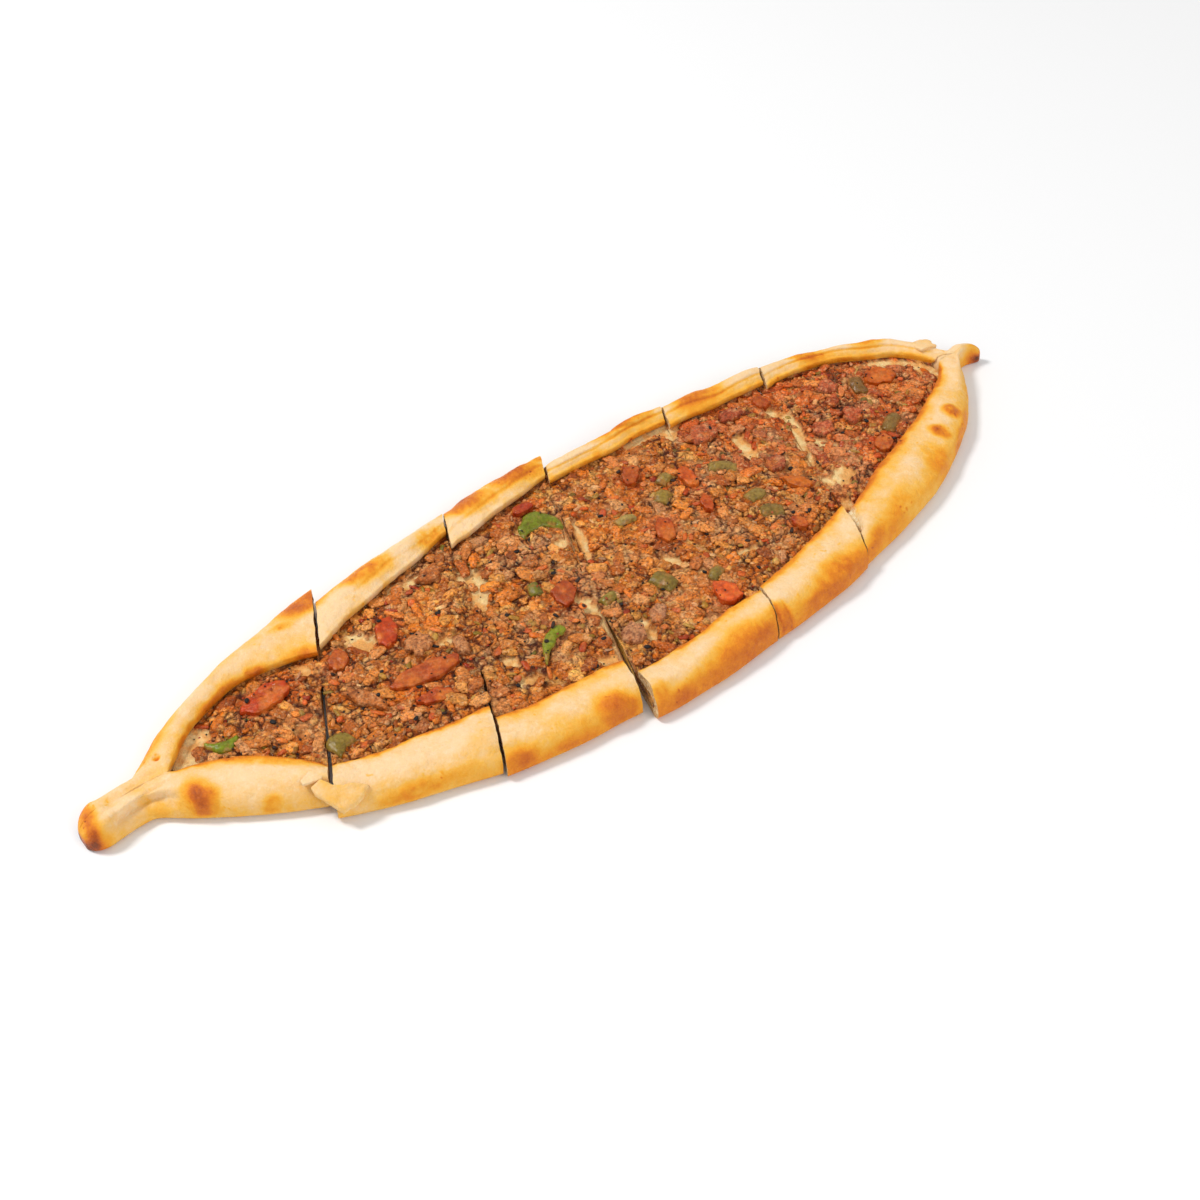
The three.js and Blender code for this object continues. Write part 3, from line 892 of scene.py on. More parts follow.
BROWNING = tuple(Patch(*row) for row in (
    (-117, 58, 14, 5.6, 11, 0.62), (-133, 49.6, 5.8, 2.3, 0, 0.26), (-202.7, -6.9, 8.8, 6.2, -74, 0.46),
    (-203.6, -8, 5.4, 3.6, -80, 0.88), (-173.6, -10.3, 19, 2.5, -41, 0.24),
    (-182.4, -25.6, 3.9, 2.5, -16, 0.26), (-206, 28.6, 11.7, 4.6, 39, 0.24),
    (-194, 33.6, 4.5, 2.6, 35, 0.2), (-85.4, 57.2, 15, 6, 6, 0.62), (-103.8, 60.4, 9.1, 4.3, 17, 0.24),
    (-51, 60.6, 12, 5, 12, 0.48), (-101.7, -49.8, 10, 5.7, 9, 0.18), (-133.2, -54.8, 20.9, 2.5, -12, 0.26),
    (-26.5, 67.4, 15.2, 7, 2, 0.7), (2.1, 70, 16, 6.8, 0, 0.7), (17.5, 71.9, 4.7, 3.2, 0, 0.56),
    (-47, -69.8, 9.4, 6.4, -48, 0.42), (-93.9, -67.2, 7.4, 3.9, -4, 0.26),
    (-68.3, -72.9, 18.6, 2.5, -7, 0.26), (62, 68.8, 24, 5.6, -4, 0.56), (18.9, -73.9, 20.4, 9.1, 1, 0.3),
    (-10, -81.6, 27.1, 3.9, 0, 0.34), (-28.2, -74.5, 6.8, 3.8, -92, 0.16),
    (40.3, -73.4, 6.7, 4.9, -83, 0.34), (80.7, -67.1, 16.3, 8.2, 7, 0.28),
    (75.5, -72.3, 28.9, 3.5, 9, 0.24), (107.5, 62.6, 16, 5.4, -7, 0.56), (96, 64.9, 4.2, 3.4, -4, 0.3),
    (196.4, -21.2, 5, 4.4, -41, 0.72), (180.4, -27.4, 5.2, 4.6, -52, 0.74),
    (167.2, -36.9, 16.4, 7.3, -116, 0.24), (203, -16, 12, 5, 40, 0.16), (125.9, -54.7, 16.2, 4.6, 29, 0.2),
    (107.5, -61.9, 13.2, 3.7, 26, 0.26), (194.2, -31.2, 23.5, 1.9, 37, 0.2),
    (169.8, 55.2, 11.5, 4.2, -25, 0.5), (202.5, 42.5, 8.7, 3.2, -21, 0.52),
    (239.6, 19.6, 7.4, 2.9, -32, 0.62), (247, 13.8, 5.2, 2.6, -60, 0.56), (243, 9, 6, 4, -50, 0.12),
    (-242.5, 7.5, 9.5, 3.6, -102, 0.42), (-244.5, 1, 5.3, 4, -59, 0.16), (-234, -4, 9, 2.6, -10, 0.22),
    (-219.2, 2.7, 9.2, 3.4, -70, 0.16), (-207.7, 19.5, 1.7, 1, 0, 0.75),
))

BLISTERS = tuple(Blister(*row) for row in (
    (-203, -8, 8, 1.2), (-47, -69.8, 8.5, 1.3), (-85, 56, 11, 0.5), (196, -20, 4.6, 0.8),
    (180, -26, 4.8, 0.8), (20, -72, 15, 0.7), (169.8, 55, 9, 0.6), (202.5, 42.5, 7, 0.6),
    (107, 62.5, 9, 0.5), (-26, 68, 9, 0.6), (4, 72, 8, 0.6), (80, -66, 12, 0.5), (-207.7, 19.5, 2.2, -1.6),
    (-237, 5, 6, 0.6),
))

CREASES = tuple(Crease(*row) for row in (
    (-206, 7, -230, 4, 1, 1.1, 0.08), (-224, 11, -240, 5, 1.1, 0.4, 0.02),
    (-216, 1, -234, -1, 1.1, 0.35, 0.02), (-212, 12, -221, 17, 1, 0.5, 0.04),
    (221, 18, 232, 12, 1.1, 0.7, 0.06), (226, 2, 231, 12, 1, 0.4, 0.04), (41, -62, 38, -81, 0.7, 0.7, 0.26),
    (44, -66, 44, -80, 0.6, 0.5, 0.2), (-96, -52, -86, -58, 0.9, 0.5, 0.06),
    (-101, -59, -90, -64, 0.9, 0.4, 0.05), (52, 69, 76, 62, 1, 0.8, 0.02), (40, 66, 60, 62, 0.9, 0.5, 0.02),
    (150, 62, 190, 45, 1, 0.5, 0.04), (-30, 59, -12, 60, 0.9, 0.5, 0.03),
    (60, -60, 84, -57, 1.2, 0.4, 0.02), (-150, -48, -120, -55, 1, 0.4, 0.08),
))

TEARS = tuple(Tear(*row) for row in (
    (107.5, -44, 15, 3.2, 66, 8.4, 5), (118, -34.5, 7, 2.6, 40, 8.8, 5),
    (233.5, 22.5, 3.4, 3.8, 20, 8.6, 5),
))

# For each slice its front and its back rim: how baked it is all over, outside and on the lip.
BAKE = (
    ((0.12, 0.14, 0.58), (0.17, 0.12, 0.32)), ((0.11, 0.22, 0.5), (0.02, 0.08, 0.06)),
    ((0.15, 0.30, 0.46), (0.02, 0.18, 0.08)), ((0.18, 0.38, 0.40), (0.09, 0.20, 0.16)),
    ((0.17, 0.36, 0.44), (0.10, 0.22, 0.18)), ((0.16, 0.26, 0.46), (0.05, 0.10, 0.16)),
)

# How plainly each slice's back rim shows the line where its roll ends.
FOLD_WEIGHTS = (0.0, 0.4, 0.6, 1.0, 1.0, 1.0)


@dataclass(frozen=True)
class Rings:
    """The dough's rings of points, and what is known of each point.

    The zone is 0 on the underside, 1 on the skin and 2 inside. The side is -1 in front and 1
    behind. The rim is how far across its rim a point is, 0 at the outer edge to 1 at the lip. Met
    is 1 beyond the inner corners, where there are no lips.
    """

    grid: Array
    zone: Array
    side: Array
    rim: Array
    met: Array


@dataclass
class Crust:
    """The dough of one slice: a floor with a folded rim at the front and at the back."""

    plan: BoatPlan
    index: int
    spacing: float = 0.72
    closer: float = 1.3
    crest: float = 13
    shoulder: float = 12.2
    crest_unevenness: float = 1.1
    lip_top: float = 11
    lip_edge: float = 9.8
    lip_middle: float = 8.2
    lip_underside: float = 6.9
    flap_underside: float = 8.5
    met_top: float = 11.7
    met_lip: float = 11.6
    met_inside: float = 11.3
    floor: float = 3.1
    full_rim: float = 14
    floor_points: int = 14
    base_points: int = 12
    grain: Grain = field(default_factory=lambda: Grain(11))

    def tip_height(self, s: Array) -> Array:
        """Returns the share of the full height that the dough keeps near the tips."""
        tip_end = np.where(s < 0, -self.plan.left_tip.end, self.plan.right_tip.end)
        roundness = np.where(s < 0, self.plan.left_tip.roundness, self.plan.right_tip.roundness)
        part = np.clip((tip_end - np.abs(s)) / roundness, 0, 1)
        round_end = mix(0.3, 1, np.sqrt(1 - (1 - part) ** 2))
        return round_end * mix(1, 0.92, smooth(195, 215, np.abs(s)))

    def met(self, s: Array) -> Array:
        """Returns 1 where the lips have met beyond an inner corner, and 0 where they stand apart."""
        return 1 - smooth(-1, 3.5, self.plan.from_corner(s))

    def outer_side(self, at: Stations, side: int) -> Array:
        """Returns the outer skin of one rim, from the foot to under the lip's edge.

        Args:
            at: The stations.
            side: -1 for the front rim, 1 for the back rim.

        Returns:
            Points (y, z), with shape (stations, points, 2).
        """
        edge, lip = at.rim(side)
        direction = -side
        width = (lip - edge) * direction
        k = np.minimum(1, (at.back - at.front) / 2 / self.full_rim)
        crest = self.crest + self.crest_unevenness * wave(at.s * 1.1, 1 if side < 0 else 6)
        met = self.met(at.s)
        heights = enumerate((self.lip_edge, self.lip_middle, self.lip_underside))
        lips = [mix(z, self.met_lip - 0.1 * i, met) for i, z in heights]
        rows = (
            (3.4 * k, 0.0), (1.1 * k, 0.9), (0.0, 3.0), (0.8 * k, 6.5), (3.5 * k, 10.2),
            (0.4 * width, crest), (0.7 * width, mix(self.shoulder, crest, 0.4)),
            (width - 1.2 * k, mix(self.lip_top, self.met_top, met)),
            (width - 0.1 * k * (1 - met), lips[0]), (width - 0.3 * k * (1 - met), lips[1]),
            (width - 0.9 * k * (1 - met), lips[2]),
        )
        rows = tuple((edge + direction * inward, z) for inward, z in rows)
        return profile(rows, [3, 3, 5, 6, 10, 10, 9, 4, 3, 3], self.tip_height(at.s))

    def channel(self, at: Stations, side: int) -> Array:
        """Returns the inside under one flap, from under the lip down to the floor."""
        lip, reach = self.plan.under_flap(at, side)
        direction = -side
        wall = lip - direction * reach
        rows = (
            (lip - direction * np.minimum(0.9, reach * 0.1), self.lip_underside),
            (wall + direction * np.minimum(2.6, reach * 0.3), self.flap_underside),
            (wall, 6.0), (wall, self.floor + 1.2),
            (wall + direction * np.minimum(2.2, reach * 0.2), self.floor), (lip, self.floor),
        )
        return profile(rows, [5, 3, 2, 2, 4], self.tip_height(at.s))

    def rings(self) -> Rings:
        """Lays out the rings of points, with the tips rounded and the lips met at their ends."""
        plan = self.plan
        at = plan.spaced(self.index, plan.span(self.index), self.spacing, self.closer)
        low = self.tip_height(at.s)
        back, front = self.outer_side(at, 1), self.outer_side(at, -1)
        floor = at.between_lips(self.floor * low, self.floor_points)
        inner = np.linspace(0, 1, self.base_points)[None, 1:-1, None]
        base = front[:, :1] + (back[:, :1] - front[:, :1]) * inner
        parts = ((base, 0, 0), (back, 1, 1), (self.channel(at, 1), 2, 1), (floor, 2, 0),
                 (self.channel(at, -1)[:, ::-1], 2, -1), (front[:, ::-1], 1, -1))
        flat = np.concatenate([part for part, _, _ in parts], axis=1)
        zone = np.concatenate([np.full(part.shape[1], number) for part, number, _ in parts])[None, :]
        side = np.concatenate([np.full(part.shape[1], number) for part, _, number in parts])[None, :]
        y, z = flat[..., 0], flat[..., 1]
        y, z = self.rounded(at, y, z, zone)
        met = self.met(at.s)[:, None]
        inside = (zone == 2) & (met > 0)
        y = np.where(inside, mix(y, ((at.lip_back + at.lip_front) / 2)[:, None], met), y)
        z = np.where(inside, mix(z, self.met_inside * low[:, None], met), z)
        s = np.broadcast_to(at.s[:, None], y.shape)
        x = plan.station_x(s, y) + plan.gap_shift(self.index, s, y)
        edge = np.where(side < 0, at.front[:, None], at.back[:, None])
        lip = np.where(side < 0, at.lip_front[:, None], at.lip_back[:, None])
        rim = np.clip((y - edge) / (lip - edge), 0, 1)
        zone, side, met = (np.broadcast_to(values, y.shape).ravel() for values in (zone, side, met))
        return Rings(np.stack([x, y, z], axis=-1), zone, side, rim.ravel(), met)

    def rounded(self, at: Stations, y: Array, z: Array, zone: Array) -> tuple[Array, Array]:
        """Rounds the skin's section beyond the inner corners, where the dough is one solid stub.

        Args:
            at: The stations.
            y: The y of the points of every ring.
            z: Their heights.
            zone: The zone of each point of a ring.

        Returns:
            The y and z of the points.
        """
        half = np.maximum((at.back - at.front) / 2, 0.5)[:, None]
        centre = ((at.back + at.front) / 2)[:, None]
        high = np.maximum(np.max(z, axis=1, keepdims=True), 0.5)
        v, w = (y - centre) / half, np.clip(z / high, 0, None)
        power = 2.8 if self.index == 0 else 2.2
        norm = (np.abs(v) ** power + w ** power) ** (1 / power)
        end = np.minimum(at.s - self.plan.left_tip.end, self.plan.right_tip.end - at.s)[:, None]
        filled = smooth(0.15, 0.5, w) * (1 - smooth(9, 16, end))
        shrink = mix(np.maximum(np.abs(v), w), 1.0, filled) / np.maximum(norm, 1e-6)
        share = (1 - smooth(-9, 2, self.plan.from_corner(at.s)[:, None])) * (zone == 1)
        shrink = mix(1, np.where(w > 0.02, shrink, 1), share)
        return centre + (y - centre) * shrink, z * shrink

    def browning(self, points: Array, rim: Array, side: Array, met: Array) -> Array:
        """Returns how baked each point is, from 0 for cream to 1 for burnt, with painted shade along creases
        and the fold.

        Args:
            points: Places, one row each, in millimetres.
            rim: How far across its rim each point is, 0 at the edge to 1 at the lip.
            side: -1 for the front rim and 1 for the back rim.
            met: 1 beyond the inner corners, where there are no lips.

        Returns:
            One value for each point, 0 to 1.
        """
        x, y, z = points.T
        broad = self.grain.layered(points, 24, 3)
        warp = self.grain.layered(points + 90, 7, 3)
        fine = self.grain.layered(points + 300, 1.9, 2)
        base, outer, lip = (np.where(side < 0, a, b) for a, b in zip(*BAKE[self.index]))
        level = base + 0.17 * broad + 0.09 * warp + 0.025 * fine
        low = 1 - smooth(0.02, 0.4, rim + 0.12 * warp + 0.1 * broad)
        under = 1 - smooth(2, 9, z + 2 * warp)
        level += outer * np.maximum(low * 0.85, under)
        strip = smooth(0.84, 0.99, rim + 0.05 * warp)
        wide = smooth(0.62, 0.98, rim + 0.07 * warp)
        level += lip * (1 - met) * (strip * (0.8 + 0.4 * warp) + wide * 0.3)
        facing = (rim > 0.93) * smooth(10.9, 10.2, z + 0.3 * warp)
        level += facing * (1 - met) * np.where(side > 0, 0.05 + 0.08 * warp, 0.05)
        level -= 0.1 * np.exp(-((rim - 0.58) / 0.18) ** 2)
        # Painted shade along the groove where the back rim's roll ends; the low ledge beyond it is a little
        # darker.
        line, ledge = self.fold(x, rim, side, warp)
        level += 0.3 * line + 0.1 * ledge
        baked = np.zeros(len(points))
        for patch in BROWNING:
            baked = np.maximum(baked, patch.strength(x, y, warp * 0.9 + 0.35 * fine))
        level += baked * (1 + 0.3 * fine) * smooth(1, 5, z)
        specks = smooth(0.6, 0.8, self.grain.plain(points + 500, 1.4)) * smooth(0, 0.5, warp)
        # Painted shade: the crust is darker along each crease and crack, in its groove.
        for crease in CREASES:
            level += crease.brown * crease.share(x, y, 0.5 * warp)
        left_end = smooth(-236, -247, x + 1.5 * warp)
        level += left_end * (0.2 + 0.46 * smooth(7.5, 1.5, z + 1.2 * warp))
        right_end = smooth(239, 246.5, x + 1.0 * warp)
        level += right_end * (0.2 + 0.3 * smooth(7, 2, z + warp))
        ends = np.maximum(left_end, right_end)
        level = np.where(level > 0.6, 0.6 + (level - 0.6) * mix(0.42, 1.0, ends), level)
        return np.clip(level + 0.3 * specks, 0.0, 1.0)

    def fold(self, x: Array, rim: Array, side: Array, warp: Array) -> tuple[Array, Array]:
        """Returns the line where the back rim's roll ends, and 1 on the low ledge beyond it."""
        place = 0.68 + 0.06 * wave(x * 0.9, 3) + 0.03 * warp
        weight = FOLD_WEIGHTS[self.index] * (side > 0) * (1 - smooth(222, 232, x))
        line = weight * np.exp(-((rim - place) / 0.04) ** 2)
        return line, weight * smooth(0, 0.05, rim - place)

    def bend_knob(self, moved: Array, ring: Rings) -> None:
        """Sets out the torn back rim by the right tip, and draws the tip to a bent, pinched knob.

        Args:
            moved: The points, which are changed.
            ring: The rings before any unevenness.
        """
        x, y, z = ring.grid.reshape(-1, 3).T
        across = ring.grid[..., 1]
        middle = (across.max(axis=1, keepdims=True) + across.min(axis=1, keepdims=True)) / 2
        middle = np.broadcast_to(middle, across.shape).ravel()
        stands_out = smooth(198, 214, x) * (1 - smooth(226, 233, x)) * (ring.side > 0)
        stands_out = stands_out * smooth(1, 8, z)
        moved[:, 1] += 2.3 * stands_out
        moved[:, 2] += 0.5 * stands_out
        pinch = smooth(236, 250, x)
        narrow = 0.42 * pinch + 0.16 * smooth(230, 238, x)
        moved[:, 0] += 2.3 * smooth(236, 249, x)
        moved[:, 1] = mix(moved[:, 1], middle, narrow) - 4.8 * smooth(238, 251, x)
        notch = smooth(231, 237, x) * (1 - smooth(240, 247, x)) * (moved[:, 1] < middle)
        moved[:, 1] += 0.34 * notch * (middle - moved[:, 1])
        moved[:, 2] *= 1 - 0.1 * pinch

    def tear(self, moved: Array, ring: Rings, warp: Array) -> Array:
        """Lowers the skin where it is torn off.

        Args:
            moved: The points, which are changed.
            ring: The rings before any unevenness.
            warp: The unevenness of the tears' edges.

        Returns:
            How torn each point is, 0 to 1.
        """
        flat = ring.grid.reshape(-1, 3)
        x, y, z = flat.T
        torn = np.zeros(len(flat))
        rough = self.grain.layered(flat * (1, 1, 0) + 840, 2.0, 3)
        for tear in TEARS:
            if tear.slice_number == self.index:
                share = tear.share(x, y, warp * 0.6 + 0.5 * rough) * (z > tear.floor - 1.5)
                share = share * (ring.zone == 1)
                lowered = mix(moved[:, 2], np.minimum(moved[:, 2], tear.floor + 0.8 * rough), share)
                moved[:, 2] = np.where(share > 0, lowered, moved[:, 2])
                torn = np.maximum(torn, share)
        return torn

    def shaped(self, ring: Rings) -> tuple[Array, Array]:
        """Returns the points with all their unevenness, and how torn each is."""
        flat = ring.grid.reshape(-1, 3)
        x, y, z = flat.T
        rim, met = ring.rim, ring.met
        normal = grid_normals(ring.grid).reshape(-1, 3)
        normal = normal * np.sign(np.sum(normal[:, 2] * (z > 11.5)))
        skin = ring.zone == 1
        lip_face = skin & (z < 10.6) & (rim > 0.9) & (met < 0.5)
        calm = 1 - 0.75 * smooth(234, 244, np.abs(x))
        free = calm * skin * np.where(lip_face, 0.0, 1 - smooth(0.9, 1, rim) * (1 - met))
        grain = self.grain
        relief = 0.46 * grain.layered(flat + 50, 14, 2) + 0.2 * grain.layered(flat + 120, 4.6, 3)
        warp = grain.layered(flat + 90, 7, 3)
        lift = np.zeros(len(flat))
        for blister in BLISTERS:
            lift += blister.lift(x, y)
        for crease in CREASES:
            lift -= crease.depth * crease.share(x, y, 0.5 * warp)
        line, ledge = self.fold(x, rim, ring.side, warp)
        lift = (lift - 0.55 * line - 0.6 * ledge) * smooth(4, 9, z)
        moved = flat + normal * (free * (relief + lift) * smooth(0.3, 4, z))[:, None]
        if self.index == len(self.plan.cuts):
            self.bend_knob(moved, ring)
        near_lip = skin * smooth(0.86, 1, rim) * (1 - met)
        moved[:, 1] += 0.55 * grain.layered(flat * (1, 1, 0) + 700, 5.5, 3) * near_lip
        moved[:, 2] += 0.5 * grain.layered(flat * (1, 1, 0) + 760, 7.0, 2) * near_lip
        torn = self.tear(moved, ring, warp)
        rows, columns = ring.grid.shape[:2]
        from_cut = np.minimum(np.arange(rows), np.arange(rows)[::-1]).astype(float)
        at_cut = np.repeat(1 - smooth(0, 4, from_cut), columns)
        if self.index in (0, len(self.plan.cuts)):
            at_cut = at_cut * (np.abs(x) < 200)
        moved[:, 0] += 0.35 * grain.layered(flat + 900, 3, 2) * at_cut * skin
        moved[:, 2] -= 0.35 * at_cut * skin * smooth(8, 12, z)
        moved[:, 2] = np.maximum(moved[:, 2], 0)
        return moved, torn

    def build(self) -> None:
        """Makes the dough's mesh with its ends closed and its browning stored on it."""
        ring = self.rings()
        stations, columns = ring.grid.shape[:2]
        moved, torn = self.shaped(ring)
        level = self.browning(moved, np.where(ring.zone == 1, ring.rim, 0.5), ring.side, ring.met)
        inside = ring.zone == 2
        oily = inside * smooth(2.6, 3.4, moved[:, 2]) * (1 - ring.met)
        stored = {
            "brown": np.where(inside, np.clip(level + 0.06, 0, 0.5), level),
            "oil": np.clip(oily * (0.5 + 0.4 * self.grain.layered(moved, 5, 2)), 0, 1),
            "torn": torn,
        }
        piece = dressed(f"dough_{self.index + 1}", moved, ring_faces(stations, columns), stored,
                        FINISHES["skin"], FINISHES["crumb"])
        at_tip = {0: 0, len(self.plan.cuts): stations - 1}.get(self.index)
        for row in (0, stations - 1):
            close_ring(piece, list(range(row * columns, (row + 1) * columns)), 0 if row == at_tip else 1)
        tidy_mesh(piece)
        finish_mesh(piece, [f"crust_{self.index + 1}"])


@dataclass(frozen=True)
class Flap:
    """A thin torn end of dough that hangs over the rim."""

    name: str
    corners: tuple[tuple[float, float, float], ...]
    thickness: float
    brown: float
    steps: int = 6
    shares: tuple[float, ...] = (0.02, 0.35, 0.65, 0.86, 0.96, 1.0, 1.0, 0.94, 0.7, 0.35, 0.02)
    heights: tuple[float, ...] = (1.0, 1.0, 1.0, 0.96, 0.8, 0.4, -0.4, -0.9, -1.0, -1.0, -1.0)

    def build(self, grain: Grain) -> None:
        """Makes the flap's mesh.

        Args:
            grain: The dough's unevenness.
        """
        ring = np.array(self.corners)
        steps = np.linspace(0, 1, self.steps + 1)[:-1]
        edge = np.concatenate([a + (b - a) * steps[:, None] for a, b in zip(ring, np.roll(ring, -1, axis=0))])
        middle = edge.mean(axis=0)
        out = edge - middle
        out[:, 2] = 0
        out /= np.linalg.norm(out, axis=1, keepdims=True)
        edge = edge + out * (0.32 * grain.layered(edge + 33, 2.6, 3))[:, None]
        rows = [middle + (edge - middle) * share for share in self.shares]
        for row, height in zip(rows, self.heights):
            row[:, 2] += height * self.thickness / 2
        points = np.concatenate(rows)
        points[:, 2] += 0.4 * grain.layered(points + 70, 3.5, 3)
        stored = {
            "torn": np.repeat(smooth(0.86, 1, np.array(self.shares)), len(edge)) * 0.2,
            "brown": self.brown + 0.08 * grain.layered(points + 20, 6, 2),
            "oil": np.zeros(len(points)),
        }
        piece = dressed(self.name, points, ring_faces(len(rows), len(edge)), stored,
                        FINISHES["skin"])
        tidy_mesh(piece, fill=True)
        finish_mesh(piece, [])


FLAPS = (
    Flap("torn_flap_2", (
        (-168, -32.6, 12.6), (-163.4, -31.6, 13.2), (-161, -36.6, 12.6), (-157, -39, 12.4),
        (-153.4, -40.8, 12.4), (-149, -44.4, 11.4), (-153.8, -46.8, 9.8), (-157.6, -47.2, 8.6),
        (-162.6, -46.8, 7.4), (-164.8, -43, 9.2), (-166.8, -39, 11), (-168.4, -36, 12)), 3, 0.2),
    Flap("torn_flap_6", (
        (219, 21.4, 12.4), (225, 20.6, 12.2), (228.6, 20.2, 11.8), (228, 22.4, 11.6),
        (229.4, 24.6, 11.4), (229, 27.4, 11), (225, 29, 11.4), (219, 29.6, 12)), 2.2, 0.12),
    Flap("torn_crumb_1", (
        (-169.6, -27.4, 13.4), (-165, -25.8, 13.8), (-161, -26.6, 13.6), (-159.6, -29.4, 13.2),
        (-162.6, -31.6, 13.2), (-166.4, -31.2, 13.4), (-170, -29.8, 13.4)), 1.5, 0.04),
)


FINISHES: dict[str, Material] = {}


# ---- filling

BARE = tuple(Patch(*row) for row in (
    (-196, 19, 10.6, 8.2, 40, 1), (-189, 21.5, 6, 5.6, -50, 1), (-203, 15.5, 5.6, 5, 40, 1),
    (-136.2, 28.6, 4.5, 3.5, -22, 1), (-109.6, 28.8, 7.6, 4.5, -47, 1), (-79.6, 6, 4.7, 2.8, -22, 0.9),
    (-64.4, -20.8, 4.7, 3.1, -90, 0.9), (-78.1, 44.5, 7.5, 2.6, 8, 1), (-49, 29.3, 10.6, 5.3, -67, 1),
    (-54.5, 16, 8.5, 3.3, -100, 1), (-65.2, -34.6, 6.7, 2.9, -18, 0.9), (2.4, 19.3, 15.3, 2.5, -112, 1),
    (-20.3, -18.5, 10.1, 3, -96, 1), (-4.1, 24.3, 4.5, 3.7, -1, 0.9), (-30.7, -45.3, 5.4, 3, -19, 1),
    (-8.7, -41.3, 7.8, 2.8, -106, 1), (26.7, -14.6, 6, 2.8, -64, 0.8), (74.5, 58.3, 13, 4, -4, 1),
    (81.8, 53.8, 3.4, 4.3, -11, 1), (-14.6, 41, 4.6, 2.4, -74, 0.9), (104.1, 24, 12.1, 3.8, -106, 1),
    (133.3, 24, 10.9, 2.4, -104, 1), (126.6, 6.6, 13.1, 2.4, -117, 1), (125.4, -19.3, 8, 5.2, -2, 1),
    (131.4, 36, 4.8, 2.9, -70, 0.9), (136, 2.4, 5.3, 2.9, -56, 0.9), (217.6, 14.5, 8.4, 5.2, -60, 1),
    (207, 26.4, 10, 2.6, -26, 1), (199.7, 32.4, 9.1, 2.4, -26, 1), (114.4, -36.7, 4, 2.7, -86, 1),
    (54.1, -30.2, 6.6, 2.2, -13, 0.8),
))

BROWN_MEAT = colours(
    (206, 118, 54), (222, 146, 84), (164, 82, 32), (236, 172, 112), (204, 112, 46), (224, 128, 42),
    (176, 94, 42),
)
RED_MEAT = colours(
    (206, 98, 48), (216, 118, 68), (170, 70, 32), (228, 148, 98), (200, 88, 46), (218, 112, 46),
    (186, 84, 42),
)
OIL, TAN_MEAT, FAT = colours((232, 126, 40), (226, 164, 116), (246, 196, 144))
# The second colour is painted shade for the filling's crevices, and also the colour of its dark fibre
# streaks.
TOMATO_JUICE, CREVICE_SHADE_AND_FIBRE = colours((224, 102, 36), (72, 24, 5))
BARE_DOUGH, STAINED_DOUGH, EDGE_OF_BARE = colours((254, 220, 154), (242, 166, 80), (214, 122, 52))
RED_LIGHT, PALE_LIGHT = (1.14, 0.98, 0.46), (1.07, 1.0, 0.8)
HEAP_AT_LIP, HEAP_TOP = 6.3, 7.9


